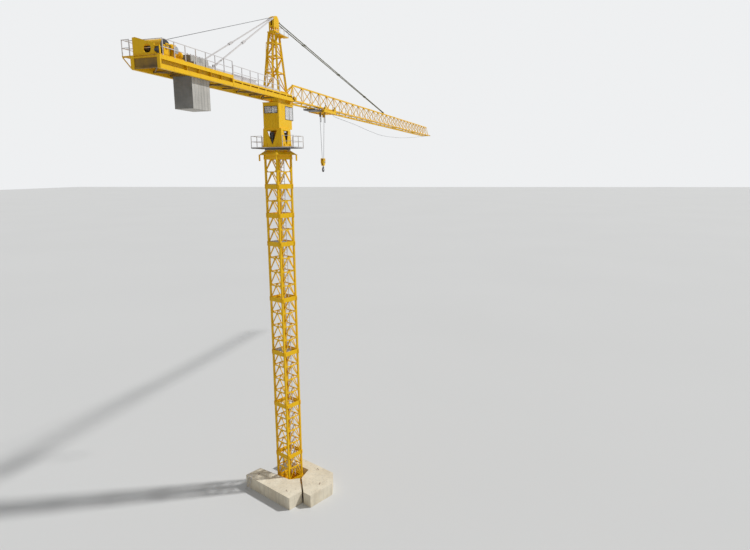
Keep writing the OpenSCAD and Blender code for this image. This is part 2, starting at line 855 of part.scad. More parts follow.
module jib_tie(s) {
    foot_y = 28;
    rod_w = 30;
    foot = [tie_x, s * foot_y, chord_top + tie_pad + 30];
    face = head_mid_x + head_nose;
    top = [face + 20, s * tie_y, block_z + 455];
    v = top - foot;
    color(olive) union() {
        bar(foot, top, rod_w);
        for (k = [0.255, 0.54, 0.825])
            bar(foot + v * (k - 0.006), foot + v * (k + 0.006), 48);
        translate([tie_x, s * foot_y, 0]) block(120, 40, chord_top + tie_pad, 60);
        translate([face, s * tie_y - 25, block_z + 410]) cube([40, 50, 90]);
    }
}

module jib_ties() {
    jib_tie(-1);
    jib_tie(1);
}

// Jib

module jib_section(n) {
    x0 = section_x(n - 1);
    x1 = section_x(n);
    count = panels[n - 1];
    top_z = jib_z + jib_h;
    inset = web_w / 2 + 6;
    top_x0 = n == 1 ? x0 + panel_l - chord_w / 2 : x0;
    color(yellow) union() {
        // Lower chords with the running lip for the trolley
        for (s = [-1, 1]) {
            translate([x0, s * jib_w / 2 - chord_w / 2, jib_z - chord_w / 2]) cube([x1 - x0, chord_w, chord_w]);
            translate([x0, s * (jib_w / 2 + chord_w / 2 + rail_lip / 2 - 2) - rail_lip / 2,
                jib_z - chord_w / 2]) cube([x1 - x0, rail_lip, rail_t]);
        }
        // Upper chord, from the first upright on
        translate([top_x0, -chord_w / 2, top_z - chord_w / 2]) cube([x1 - top_x0, chord_w, chord_w]);
        for (i = [0 : count - 1]) {
            a = x0 + i * panel_l + (i == 0 ? inset : 0);
            b = x0 + (i + 1) * panel_l - (i == count - 1 ? inset : 0);
            mid = x0 + (i + 0.5) * panel_l;
            flip = i % 2 == 0 ? 1 : -1;
            root = n == 1 && i == 0;
            for (s = [-1, 1]) {
                // From the middle of each panel below, a bar up to each of its ends
                bar([mid, s * jib_w / 2, jib_z], [b, 0, top_z], web_w);
                bar([root ? a : mid, s * jib_w / 2, jib_z], [root ? b : a, 0, top_z], root ? root_bar : web_w - 2);
            }
            bar([mid, -jib_w / 2, jib_z], [mid, jib_w / 2, jib_z], web_w + 4);
            bar([a, -flip * jib_w / 2, jib_z], [b, flip * jib_w / 2, jib_z], web_w - 4);
        }
        bar([x1 - inset, -jib_w / 2, jib_z], [x1 - inset, jib_w / 2, jib_z], web_w + 4);
        if (n == 1)
            bar([x0 + 24, -jib_w / 2, jib_z], [x0 + 24, jib_w / 2, jib_z], root_bar);
        // Cross plate that carries the jib ties
        if (x0 < tie_x && tie_x < x1)
            translate([tie_x, 0, 0]) block(140, 150, chord_top - 1, tie_pad + 1);
        // End frame with the rope pulley bracket
        if (n == len(panels)) {
            translate([x1 - 40, -jib_w / 2, jib_z - chord_w / 2]) cube([40, jib_w, chord_w]);
            translate([x1 - 160, -30, jib_z - chord_w / 2]) cube([160, 60, chord_w]);
        }
    }
}

module jib_section_1() { jib_section(1); }
module jib_section_2() { jib_section(2); }
module jib_section_3() { jib_section(3); }
module jib_section_4() { jib_section(4); }
module jib_section_5() { jib_section(5); }

// Ropes

rope_r = 9;
line_r = 8;

module hoist_rope() {
    // Tangent to the drum and to the groove of the head pulley
    rise = atan2(sheave_z - drum_z, head_mid_x - drum_x);
    r0 = drum_r + rope_r;
    r1 = sheave_r - groove_d + rope_r;
    color(dark) rod([drum_x - r0 * sin(rise), 0, drum_z + r0 * cos(rise)],
        [head_mid_x - r1 * sin(rise), 0, sheave_z + r1 * cos(rise)], rope_r, 8);
}

// Line that pulls the trolley, between the turret and the jib tip
module trolley_rope() {
    line_z = jib_z + root_bar / 2 + line_r;
    color(dark) rod([jib_root + 4, 0, line_z], [jib_reach - 160, 0, line_z], line_r, 8);
}

// Trolley

lip_z = jib_z - chord_w / 2 + rail_t;
wheel_r = 52;
wheel_gap = 0.5;
wheel_z = lip_z + wheel_r + wheel_gap;
wheel_y = jib_w / 2 + chord_w / 2 + 12;
wheel_t = 30;
wheel_x = 620;
cheek_y = jib_w / 2 + chord_w / 2 + rail_lip + 12;
cheek_t = 14;
trolley_l = 1620;
trolley_h = 120;
trolley_z = jib_z - chord_w / 2 - 30 - trolley_h;
fall_c = -105;                 // middle of the rope falls from the trolley centre
fall_x = 290;                  // falls at the trolley from their middle
hanger_h = 510;                // hangers for the slack line, below the trolley
hanger_x = -480;
hanger_y = -310;

module trolley_frame() {
    color(yellow) translate([trolley_rest, 0, 0]) union() {
        for (s = [-1, 1]) {
            translate([0, s * (cheek_y + cheek_t / 2), 0])
                block(trolley_l, cheek_t, trolley_z, trolley_h);
            for (t = [-1, 1])
                translate([t * wheel_x, s * (cheek_y + cheek_t / 2), 0])
                    block(220, cheek_t, trolley_z, wheel_z + 60 - trolley_z);
            translate([0, s * 70, 0]) block(trolley_l - 20, 30, trolley_z, trolley_h - 20);
        }
        for (x = [-trolley_l / 2 + 30, hanger_x, fall_c - fall_x, fall_c + fall_x, trolley_l / 2 - 30])
            translate([x, 0, 0]) block(60, 2 * cheek_y, trolley_z, trolley_h);
        translate([hanger_x, hanger_y, 0]) block(20, 20, trolley_z - hanger_h, hanger_h + 10);
    }
}

module trolley_wheels() {
    color(dark) translate([trolley_rest, 0, wheel_z])
        for (x = [-wheel_x, wheel_x], s = [-1, 1])
            translate([x, s * wheel_y, 0]) rotate([s * -90, 0, 0]) union() {
                cylinder(h = wheel_t, r = wheel_r);
                cylinder(h = cheek_y - wheel_y, r = 16);
            }
}

basket_l = 860;
basket_gap = 125;

module trolley_basket() {
    x1 = trolley_rest - trolley_l / 2;
    x0 = x1 - basket_gap - basket_l;
    color(dark) union() {
        translate([x0, -330, trolley_z]) cube([basket_l, 600, 16]);
        for (y = [-330, 250])
            translate([x0, y, trolley_z + 10]) cube([x1 - x0, 20, 50]);
        for (x = [x0, x0 + basket_l - 20])
            translate([x, -330, trolley_z + 10]) cube([20, 600, 50]);
        translate([x1 - 200, hanger_y, 0]) block(20, 20, trolley_z - hanger_h, hanger_h + 30);
    }
}

// Hook

hook_x = trolley_rest + fall_c;
hook_top = trolley_z - hook_drop;
block_w = 260;
hook_block_h = 380;
hook_block_t = 130;
hook_r = 130;
hook_core = 74;
hook_t = 60;

module hook_block() {
    color(yellow) translate([hook_x, 0, hook_top - hook_block_h]) union() {
        for (s = [-1, 1])
            translate([0, s * (hook_block_t / 2 - 10), 0]) rotate([90, 0, 0]) translate([0, 0, -10])
                linear_extrude(height = 20)
                    polygon([[-60, 0], [60, 0], [block_w / 2, 120], [block_w / 2, hook_block_h],
                        [-block_w / 2, hook_block_h], [-block_w / 2, 120]]);
        block(110, hook_block_t - 20, 0, 60);
        block(block_w, hook_block_t - 20, hook_block_h - 30, 30);
        translate([0, 0, 210]) rotate([90, 0, 0]) translate([0, 0, -30]) cylinder(h = 60, r = 115);
        translate([0, 0, 210]) rotate([90, 0, 0]) translate([0, 0, -hook_block_t / 2 + 5])
            cylinder(h = hook_block_t - 10, r = 30);
    }
}

module hook() {
    z = hook_top - hook_block_h - 60 - hook_r;
    color(dark) translate([hook_x, 0, 0]) union() {
        translate([0, 0, z]) rotate([90, 0, 0]) translate([0, 0, -hook_t / 2])
            linear_extrude(height = hook_t) difference() {
                circle(r = hook_r);
                circle(r = hook_core);
                polygon([[0, 0], [hook_r * 2, -20], [hook_r * 2, hook_r], [20, hook_r * 1.5]]);
            }
        translate([0, 0, z + hook_r - 30]) cylinder(h = 90, r = 28);
    }
}

// Two slanted falls, cut level with the hook block and the trolley
module rope_falls() {
    color(dark) intersection() {
        translate([hook_x, 0, 0]) block(2 * fall_x + 80, 60, hook_top, trolley_z - hook_top);
        union() {
            for (s = [-1, 1]) {
                foot = [hook_x + s * 100, 0, hook_top];
                top = [hook_x + s * fall_x, 0, trolley_z];
                spare = (top - foot) / 100;
                rod(foot - spare, top + spare, rope_r, 8);
            }
        }
    }
}

slab_near();
slab_far();
foot_frame();
mast_section_1();
mast_section_2();
mast_section_3();
mast_section_4();
mast_section_5();
mast_section_6();
mast_section_7();
mast_section_8();
mast_ladder();
slab_ladder();
slew_support();
slew_ring_lower();
slew_ring_upper();
slew_platform();
turret();
slew_drive();
cab_shell();
cab_glass_front();
cab_glass_rear();
turret_crown();
tower_head();
head_block();
head_sheave();
head_ladder();
counter_beam_near();
counter_beam_far();
end_bracing();
walkway_bracing();
end_deck();
walkway_deck();
railing_near();
railing_far();
counterweight();
hoist_frame();
hoist_drum();
hoist_motor();
power_cabinets();
counter_tie_near();
counter_tie_far();
jib_section_1();
jib_section_2();
jib_section_3();
jib_section_4();
jib_section_5();
jib_ties();
hoist_rope();
trolley_rope();
trolley_frame();
trolley_wheels();
trolley_basket();
hook_block();
hook();
rope_falls();
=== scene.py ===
"""Looks of a trolley tower crane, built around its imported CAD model. Metres, 1:2 scale."""
import math

import bpy
from mathutils import Matrix, Quaternion, Vector


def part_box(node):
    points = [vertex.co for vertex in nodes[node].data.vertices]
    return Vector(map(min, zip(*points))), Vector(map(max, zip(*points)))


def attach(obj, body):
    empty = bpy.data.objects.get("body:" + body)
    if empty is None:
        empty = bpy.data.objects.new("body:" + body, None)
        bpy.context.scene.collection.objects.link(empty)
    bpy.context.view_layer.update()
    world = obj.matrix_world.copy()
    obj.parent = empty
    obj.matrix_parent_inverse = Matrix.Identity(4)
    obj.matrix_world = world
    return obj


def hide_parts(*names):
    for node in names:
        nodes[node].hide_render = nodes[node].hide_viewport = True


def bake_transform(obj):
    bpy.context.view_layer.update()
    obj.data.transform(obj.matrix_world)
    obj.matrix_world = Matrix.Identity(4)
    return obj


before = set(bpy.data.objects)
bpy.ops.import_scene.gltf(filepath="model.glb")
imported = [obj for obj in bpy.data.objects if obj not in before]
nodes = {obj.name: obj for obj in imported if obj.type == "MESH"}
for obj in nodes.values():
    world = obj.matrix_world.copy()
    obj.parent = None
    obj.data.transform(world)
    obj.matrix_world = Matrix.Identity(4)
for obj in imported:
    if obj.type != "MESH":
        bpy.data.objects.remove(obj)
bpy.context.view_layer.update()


# Base slabs: two heavy blocks of cast concrete beside the mast foot. Pale, sun-bleached
# tops, with pour marks, pores and rain stains on the sides.
class Tone:
    """A number or colour as it varies over a surface. Sums and products add Math nodes."""

    def __init__(self, tree, socket):
        self.tree = tree
        self.socket = socket

    def node(self, kind, settings, sockets, output=0):
        made = self.tree.nodes.new(kind)
        for key, value in settings.items():
            setattr(made, key, value)
        for key, value in sockets.items():
            if isinstance(value, Tone):
                self.tree.links.new(value.socket, made.inputs[key])
            else:
                made.inputs[key].default_value = value
        return Tone(self.tree, made.outputs[output] if made.outputs else None)

    def maths(self, operation, *values):
        return self.node("ShaderNodeMath", {"operation": operation}, dict(enumerate(values)))

    def __add__(self, other):
        return self.maths("ADD", self, other)

    def __sub__(self, other):
        return self.maths("SUBTRACT", self, other)

    def __rsub__(self, other):
        return self.maths("SUBTRACT", other, self)

    def __mul__(self, other):
        return self.maths("MULTIPLY", self, other)

    __radd__ = __add__
    __rmul__ = __mul__

    def noise(self, scale, detail=3.0, rough=0.5):
        """Noise over this place, from 0 to 1."""
        return self.node("ShaderNodeTexNoise", {}, {"Vector": self, "Scale": scale, "Detail": detail,
                                                    "Roughness": rough})

    def between(self, low, high, out_low=0.0, out_high=1.0):
        """0 below low and 1 above high."""
        return self.node("ShaderNodeMapRange", {}, {"Value": self, "From Min": low, "From Max": high,
                                                    "To Min": out_low, "To Max": out_high})

    def stretched(self, x, y, z):
        return self.node("ShaderNodeMapping", {}, {"Vector": self, "Scale": (x, y, z)})

    def coat(self, under, over):
        """The colour over on the colour under, where this is 1."""
        return self.node("ShaderNodeMix", {"data_type": "RGBA"}, {0: self, 6: under, 7: over}, 2)

    def bump(self, strength, distance):
        return self.node("ShaderNodeBump", {}, {"Height": self, "Strength": strength, "Distance": distance})


def finish_of(name, recipe):
    """A new material: recipe takes the place on the object and returns the shader's sockets."""
    made = bpy.data.materials.new(name)
    made.use_nodes = True
    made.node_tree.nodes.clear()
    place = Tone(made.node_tree, None).node("ShaderNodeTexCoord", {}, {}, "Object")
    shader = place.node("ShaderNodeBsdfPrincipled", {}, recipe(place))
    place.node("ShaderNodeOutputMaterial", {}, {"Surface": shader})
    return made


def paint_nodes(material, *names):
    for name in names:
        mesh = nodes[name].data
        mesh.materials.clear()
        mesh.materials.append(material)


def concrete(light, dark, stain):
    def recipe(place):
        cloud = place.noise(1.6, 5.0, 0.6).between(0.36, 0.66)
        pours = place.stretched(0.5, 0.5, 11.0).noise(1.4, 3.0).between(0.42, 0.62)
        drips = place.stretched(7.0, 7.0, 0.5).noise(1.7, 4.0).between(0.52, 0.74)
        grit = place.noise(95.0, 3.0, 0.7)
        pores = place.node("ShaderNodeTexVoronoi", {}, {"Vector": place, "Scale": 30.0}).between(0.06, 0.13)
        colour = (cloud * 0.75 + pours * 0.15).coat(light, dark)
        colour = (drips * 0.45).coat(colour, stain)
        colour = (grit.between(0.35, 0.75) * 0.22).coat(colour, dark)
        colour = ((1 - pores) * 0.5).coat(colour, stain)
        return {"Base Color": colour, "Roughness": 0.86 + cloud * 0.1,
                "Normal": (grit * 0.5 + pours * 0.4 + pores * 0.8).bump(0.35, 0.004)}
    return recipe


base_concrete = finish_of("base_concrete", concrete((0.80, 0.73, 0.58, 1), (0.62, 0.54, 0.40, 1),
                                                    (0.36, 0.32, 0.26, 1)))
paint_nodes(base_concrete, "slab_near", "slab_far")


# Lifting loops: bent reinforcing bar, brown with rust. Their feet are cast into the tops of
# the slabs.
def rusty_bar(place):
    bloom = place.noise(42.0, 5.0, 0.65).between(0.38, 0.66)
    return {"Base Color": bloom.coat((0.13, 0.055, 0.028, 1), (0.28, 0.13, 0.06, 1)), "Metallic": 0.25,
            "Roughness": 0.7 + bloom * 0.2, "Normal": place.noise(160.0, 3.0).bump(0.5, 0.001)}


rust = finish_of("rusty_bar", rusty_bar)


def moved(x, y, z):
    return Matrix.Translation((x, y, z))


def turned(degrees, axis="Z"):
    return Matrix.Rotation(math.radians(degrees), 4, axis)


def only(shapes):
    """Selects these shapes and no others, with the first one active."""
    bpy.ops.object.select_all(action="DESELECT")
    for shape in shapes:
        shape.select_set(True)
    bpy.context.view_layer.objects.active = shapes[0]


def flatten(shape):
    """Puts the shape's place, turn and scale into its mesh."""
    only([shape])
    bpy.ops.object.transform_apply(location=True, rotation=True, scale=True)
    return shape


def fuse(shapes):
    """One shape from several."""
    only(shapes)
    if len(shapes) > 1:
        bpy.ops.object.join()
    return flatten(bpy.context.object)


def copies(shape, places):
    """Copies of a shape, each with its own mesh, at the given matrices. The shape itself goes."""
    flatten(shape)
    made = []
    for place in places:
        one = shape.copy()
        one.data = shape.data.copy()
        one.data.transform(place)
        bpy.context.collection.objects.link(one)
        made.append(one)
    bpy.data.objects.remove(shape)
    return made


def finished(made, name, material, smooth):
    """The shape under its name, smoothed and in its material."""
    only([made])
    bpy.ops.object.shade_smooth_by_angle(angle=math.radians(smooth))
    made.name = made.data.name = name
    made.data.materials.clear()
    made.data.materials.append(material)
    return made


def piece(name, shapes, material, body, turn=None, smooth=40):
    """One finished piece, joined from the shapes, that rides on a body."""
    made = fuse(shapes)
    if turn is not None:
        made.data.transform(turn)
    finished(made, name, material, smooth)
    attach(made, body)
    return made


def mode(name):
    bpy.ops.object.mode_set(mode=name)


def split(at, normal, **side):
    """In edit mode, cuts the whole mesh along a plane."""
    bpy.ops.mesh.select_all(action="SELECT")
    bpy.ops.mesh.bisect(plane_co=at, plane_no=normal, **side)


def bent_ring(radius, thick, around, across=8, at=(0, 0, 0)):
    """A ring of bar or rope round the Y axis."""
    bpy.ops.object.select_all(action="DESELECT")
    bpy.ops.mesh.primitive_torus_add(major_radius=radius, minor_radius=thick, major_segments=around,
                                     minor_segments=across, location=at, rotation=(math.pi / 2, 0, 0))
    return bpy.context.object


base_turn = turned(-23.8)
loop = flatten(bent_ring(0.055, 0.008, 20))
mode("EDIT")
split((0, 0, -0.004), (0, 0, 1), clear_inner=True)
mode("OBJECT")
slab_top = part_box("slab_near")[1].z
spots = ((-1.18, 0.85, 20), (-1.28, -1.25, 70), (0.9, 0.85, 10), (0.92, -0.95, 80), (0.1, -1.95, 30))
piece("lifting_loops", copies(loop, [moved(x, y, slab_top) @ turned(a) for x, y, a in spots]),
      rust, "base", base_turn)


# Mast, foot frame and slewing support: square steel posts with welded lattice, sprayed golden
# yellow and since faded by the sun, with dirt runs and small chips that rust.
def crane_paint(colour, faded, dirt):
    def recipe(place):
        fade = place.noise(0.9, 4.0, 0.6).between(0.38, 0.66)
        runs = place.stretched(13.0, 13.0, 1.1).noise(1.6, 4.0, 0.6).between(0.52, 0.72)
        dust = place.noise(6.0, 6.0, 0.7).between(0.46, 0.72)
        chips = place.noise(26.0, 6.0, 0.65).between(0.665, 0.69)
        film = (fade * 0.4).coat(colour, faded)
        film = (runs * 0.34).coat(film, dirt)
        film = (dust * 0.10).coat(film, dirt)
        film = chips.coat(film, (0.16, 0.065, 0.028, 1))
        return {"Base Color": film, "Roughness": 0.40 + fade * 0.14 + chips * 0.35 + dust * 0.1,
                "Specular IOR Level": 0.22,
                "Normal": (place.noise(140.0, 2.0) * 0.25 - chips).bump(0.2, 0.002)}
    return recipe


yellow_paint = finish_of("yellow_paint", crane_paint((0.86, 0.50, 0.004, 1), (0.89, 0.56, 0.018, 1),
                                                     (0.40, 0.21, 0.015, 1)))
paint_nodes(yellow_paint, *[n for n in nodes if n.startswith(("mast_section", "foot_", "jib_section"))],
            "slew_support", "turret", "cab_shell", "turret_crown", "tower_head", "head_block", "head_ladder",
            "counter_beam_near", "counter_beam_far", "hoist_frame", "hoist_motor", "trolley_frame",
            "hook_block")
pale_coat = crane_paint((0.62, 0.59, 0.58, 1), (0.74, 0.71, 0.69, 1), (0.30, 0.26, 0.22, 1))
pale_paint = finish_of("pale_paint", pale_coat)
paint_nodes(pale_paint, "mast_ladder", "slab_ladder", "slew_platform", "walkway_deck", "railing_near",
            "railing_far", "power_cabinets", "counter_tie_near", "counter_tie_far")


# Bolts of the foot and the mast joints: galvanised studs with hexagon nuts on the foot pads,
# and a bolted fishplate over each post at every joint, sprayed yellow with the mast.
def zinc_coat(place):
    spangle = place.node("ShaderNodeTexVoronoi", {}, {"Vector": place, "Scale": 70.0}).between(0.1, 0.8)
    grime = place.noise(12.0, 5.0, 0.6).between(0.45, 0.7)
    return {"Base Color": (grime * 0.5).coat(spangle.coat((0.40, 0.41, 0.42, 1), (0.54, 0.55, 0.56, 1)),
                                             (0.22, 0.20, 0.17, 1)),
            "Metallic": 0.8, "Roughness": 0.38 + spangle * 0.1 + grime * 0.25,
            "Normal": place.noise(240.0, 2.0).bump(0.15, 0.0008)}


zinc = finish_of("zinc_coat", zinc_coat)


def break_edges(made, width, **limit):
    """Gives the active shape a narrow bevel along its edges."""
    edge = made.modifiers.new("broken_edges", "BEVEL")
    edge.width = width
    edge.segments = 1
    for key, value in limit.items():
        setattr(edge, key, value)
    bpy.ops.object.modifier_apply(modifier="broken_edges")


def slab(size, at, bevel=0.0, turn=(0, 0, 0)):
    """A block of steel plate or cast metal with broken edges."""
    bpy.ops.object.select_all(action="DESELECT")
    bpy.ops.mesh.primitive_cube_add(size=1, location=at, rotation=turn, scale=size)
    made = bpy.context.object
    if bevel:
        bpy.ops.object.transform_apply(location=False, rotation=False, scale=True)
        break_edges(made, bevel, limit_method="NONE")
    return made


def round_bar(start, end, radius, sides=8, bevel=0.0):
    """A turned or drawn bar between two points, with its end edges broken."""
    start, end = Vector(start), Vector(end)
    bpy.ops.object.select_all(action="DESELECT")
    bpy.ops.mesh.primitive_cylinder_add(vertices=sides, radius=radius, depth=(end - start).length,
                                        location=(start + end) / 2,
                                        rotation=(end - start).to_track_quat("Z", "Y").to_euler())
    made = bpy.context.object
    if bevel:
        break_edges(made, bevel, angle_limit=math.radians(60))
    return made


def bolt(radius, reach):
    """A hexagon nut on the end of its stud, along +Z from the origin."""
    return fuse([round_bar((0, 0, 0), (0, 0, radius * 0.9), radius, 6, radius * 0.12),
                 round_bar((0, 0, 0), (0, 0, reach), radius * 0.55, 8)])


both = (-1, 1)
post_c = 0.387
pad_top = 0.054
piece("foot_bolts", copies(bolt(0.019, 0.045), [
    moved(s * post_c + i * 0.082, t * post_c + j * 0.082, pad_top)
    for s in both for t in both for i in both for j in both]), zinc, "base", base_turn)

joints = [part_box("mast_section_%d" % n)[0].z for n in range(1, 9)] + [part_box("mast_section_8")[1].z]
collar = 0.439
fish = [slab((0.058, 0.014, 0.170), (0, -0.007, 0), 0.003)]
fish += copies(bolt(0.013, 0.018), [moved(0, -0.014, z) @ turned(90, "X")
                                    for z in (-0.06, -0.022, 0.022, 0.06)])
quarter = [turned(k * 90) for k in range(4)]
piece("mast_fishplates", copies(fuse(fish), [
    k @ moved(s * (post_c - 0.005), -collar, z) for z in joints for k in quarter for s in both]),
      yellow_paint, "base", base_turn)


# Gusset plates: cut from thin sheet and welded where the diagonals meet the posts and the
# level bars of the mast.
def gusset(points, thick):
    """A flat plate with the outline in x and z, standing on the plane y = 0 towards -Y."""
    bpy.ops.object.select_all(action="DESELECT")
    bpy.ops.mesh.primitive_circle_add(vertices=len(points), radius=1, fill_type="NGON")
    made = bpy.context.object
    for vertex, (x, z) in zip(made.data.vertices, points):
        vertex.co = (x, 0, z)
    mode("EDIT")
    bpy.ops.mesh.select_all(action="SELECT")
    bpy.ops.mesh.extrude_region_move(TRANSFORM_OT_translate={"value": (0, -thick, 0)})
    bpy.ops.mesh.select_all(action="SELECT")
    bpy.ops.mesh.normals_make_consistent(inside=False)
    mode("OBJECT")
    return made


bays = [2, 4, 4, 4, 4, 2, 2, 2]
bay_h = (joints[-1] - joints[0]) / sum(bays)
inner = [z for z in [joints[0] + bay_h * i for i in range(sum(bays) + 1)]
         if min(abs(z - j) for j in joints) > 0.1]
apex = gusset([(-0.085, 0.022), (-0.045, -0.075), (0.045, -0.075), (0.085, 0.022)], 0.007)
corner = gusset([(-0.048, -0.018), (0.05, -0.018), (0.05, 0.014), (-0.018, 0.10), (-0.048, 0.10)], 0.007)
face = -post_c - 0.0215
shapes = copies(apex, [k @ moved(0, face, z) for z in inner for k in quarter])
shapes += copies(corner, [k @ moved(s * (post_c - 0.085), face, z + 0.02) @ Matrix.Diagonal((-s, 1, 1, 1))
                          for z in inner for k in quarter for s in both])
piece("mast_gussets", shapes, yellow_paint, "base", base_turn)


# Rest landings inside the mast: galvanised gratings on a light frame, beside the ladder, at
# every second joint.
def grating(length, width, pitch, bar_h=0.022, bar_t=0.004):
    """Flat bars on edge across a frame, with its middle at the origin and its top at z = 0."""
    rows = int(width / pitch)
    rods = max(2, int(length / (pitch * 2.4)))
    rim = bar_t * 1.5
    shapes = copies(slab((length, bar_t, bar_h), (0, 0, -bar_h / 2)),
                    [moved(0, (i - (rows - 1) / 2) * pitch, 0) for i in range(rows)])
    shapes += copies(slab((bar_t * 1.4, width, bar_t * 1.4), (0, 0, -bar_t * 1.4)),
                     [moved((i + 0.5) * length / rods - length / 2, 0, 0) for i in range(rods)])
    shapes += [slab((length, rim, bar_h + 0.004), (0, s * width / 2, -bar_h / 2), 0.001) for s in both]
    shapes += [slab((rim, width, bar_h + 0.004), (s * length / 2, 0, -bar_h / 2), 0.001) for s in both]
    return fuse(shapes)


landings = copies(grating(0.36, 0.70, 0.03), [moved(-0.16, 0, z + 0.11) for z in joints[3:-1:2]])
piece("mast_landings", landings, zinc, "base", base_turn)


# Slewing ring: bolts all round the flange of the support, and the gear teeth that the drive
# pinions run in.
support_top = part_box("slew_ring_lower")[0].z
ring_r = 0.545
piece("ring_bolts", copies(bolt(0.015, 0.03), [
    turned(a) @ moved(ring_r - 0.032, 0, support_top - 0.02) @ turned(180, "X")
    for a in range(5, 360, 10) if 12 < a % 90 < 78]), zinc, "base", base_turn)
tooth = gusset([(-0.013, -0.014), (0.013, -0.014), (0.013, 0.014), (-0.013, 0.014)], 0.014)


def greased_steel(place):
    smear = place.noise(9.0, 5.0, 0.6).between(0.4, 0.68)
    worn = place.noise(31.0, 3.0).between(0.5, 0.8)
    colour = smear.coat((0.055, 0.055, 0.06, 1), (0.12, 0.11, 0.10, 1))
    return {"Base Color": (worn * 0.3).coat(colour, (0.30, 0.29, 0.28, 1)), "Metallic": 0.75,
            "Roughness": 0.30 + smear * 0.3, "Normal": place.noise(210.0, 2.0).bump(0.12, 0.001)}


dark_steel = finish_of("dark_steel", greased_steel)
paint_nodes(dark_steel, "slew_ring_lower", "slew_ring_upper", "slew_drive", "head_sheave", "hoist_drum",
            "trolley_wheels", "trolley_basket", "hook")
piece("ring_teeth", copies(tooth, [turned(a) @ moved(0, -ring_r + 0.002, support_top + 0.022)
                                   for a in range(0, 360, 3)]), dark_steel, "base")


# Slew platform: galvanised gratings lie on the two side wings, with slim edge angles of dark
# steel along their outer sides and brackets below.
lo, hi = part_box("slew_platform")
floor_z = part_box("turret")[0].z
wing_in = 0.485
wing_l = hi.y - wing_in
wing_y = wing_in + wing_l / 2
piece("wing_gratings", copies(grating(hi.x * 2 - 0.06, wing_l - 0.03, 0.034, 0.012),
                              [moved(0, s * wing_y, floor_z + 0.0125) for s in both]),
      zinc, "upper")
edges = []
for s in both:
    edges.append(slab((hi.x * 2 - 0.02, 0.004, 0.018), (0, s * (hi.y - 0.006), lo.z - 0.0085), 0.001))
    edges += [slab((0.020, wing_l + 0.1, 0.024), (x, s * (wing_y - 0.06), lo.z - 0.0125), 0.002)
              for x in (-0.40, 0.40)]
piece("wing_edges", edges, dark_steel, "upper")


# Slewing drives: two upright motors with cooling fins, a fan cowl and a terminal box, on
# gearboxes that stand on the platform.
drives = []
drive_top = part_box("slew_drive")[1].z
for x, y in ((-0.290, 0.095), (0.200, -0.265)):
    centre = moved(x, y, 0)
    drives += copies(slab((0.016, 0.006, 0.20), (0.088, 0, drive_top - 0.13), 0.001),
                     [centre @ turned(a) for a in range(0, 360, 20)])
    drives += [round_bar((x, y, drive_top - 0.028), (x, y, drive_top + 0.03), 0.098, 24, 0.008),
               round_bar((x, y, floor_z + 0.33), (x, y, floor_z + 0.352), 0.128, 24, 0.004),
               slab((0.075, 0.055, 0.085), (x - 0.108, y, drive_top - 0.16), 0.006)]
    drives += copies(bolt(0.010, 0.014), [centre @ turned(a) @ moved(0.113, 0, floor_z + 0.352)
                                          for a in range(0, 360, 45)])
piece("slew_motors", drives, dark_steel, "upper")


# Turret: flat bars welded round the openings and stiffening ribs on the foot, painted with the
# rest, with galvanised bolts in the base flange and a short ladder inside.
lo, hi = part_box("turret")
turret_h = hi.z - lo.z
start_z, end_z = floor_z + 0.117, floor_z + turret_h - 0.088


def wall_y(half, lean, z):
    """Just outside a leaning wall, at a height."""
    return -(half + 0.0075 - lean * (z - floor_z) / turret_h)


rims = []
for k, (half, lean) in enumerate(((0.4625, 0.015), (0.4375, 0.03))):
    y0, y1 = wall_y(half, lean, start_z), wall_y(half, lean, end_z)
    for flip in (0, 180):
        turn = turned(flip) @ turned(90 * (k + 1))
        for s in both:
            rims += copies(round_bar((s * 0.020, y0, start_z - 0.004), (s * 0.240, y1, end_z), 0.012, 4),
                           [turn])
        rims += copies(slab((0.49, 0.018, 0.018), (0, y1, end_z + 0.006), 0.002), [turn])
        rims += copies(slab((0.012, 0.035, 0.15), (0, 0, 0), 0.002),
                       [turn @ moved(x, -half - 0.012, floor_z + 0.075) for x in (-0.40, -0.24, 0.24, 0.40)])
piece("turret_rims", rims, yellow_paint, "upper")
piece("turret_bolts", copies(bolt(0.013, 0.022), [moved(-0.50 + 0.125 * i, s * 0.468, lo.z)
                                                  for i in range(9) for s in both]),
      zinc, "upper")
rungs = [round_bar((0.30, s * 0.12, floor_z), (0.30, s * 0.12, hi.z - 0.03), 0.011) for s in both]
rungs += copies(round_bar((0.30, -0.12, 0), (0.30, 0.12, 0), 0.008, 6),
                [moved(0, 0, floor_z + 0.15 * i) for i in range(1, 5)])
piece("turret_ladder", rungs, pale_paint, "upper")


# Cab: a welded sheet box with pressed ribs on its rear panel, a roof gutter, black rubber
# seals and olive posts round the wrapped front window, and a door on its far side.
cab_lo, cab_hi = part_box("cab_shell")
glass_lo, glass_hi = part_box("cab_glass_front")
rear_lo, rear_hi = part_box("cab_glass_rear")
glass, glass_mid = glass_hi - glass_lo, (glass_lo + glass_hi) / 2


def rubber(place):
    bloom = place.noise(17.0, 4.0).between(0.4, 0.7)
    return {"Base Color": bloom.coat((0.018, 0.018, 0.019, 1), (0.05, 0.049, 0.047, 1)),
            "Roughness": 0.55 + bloom * 0.25, "Normal": place.noise(320.0, 2.0).bump(0.2, 0.0006)}


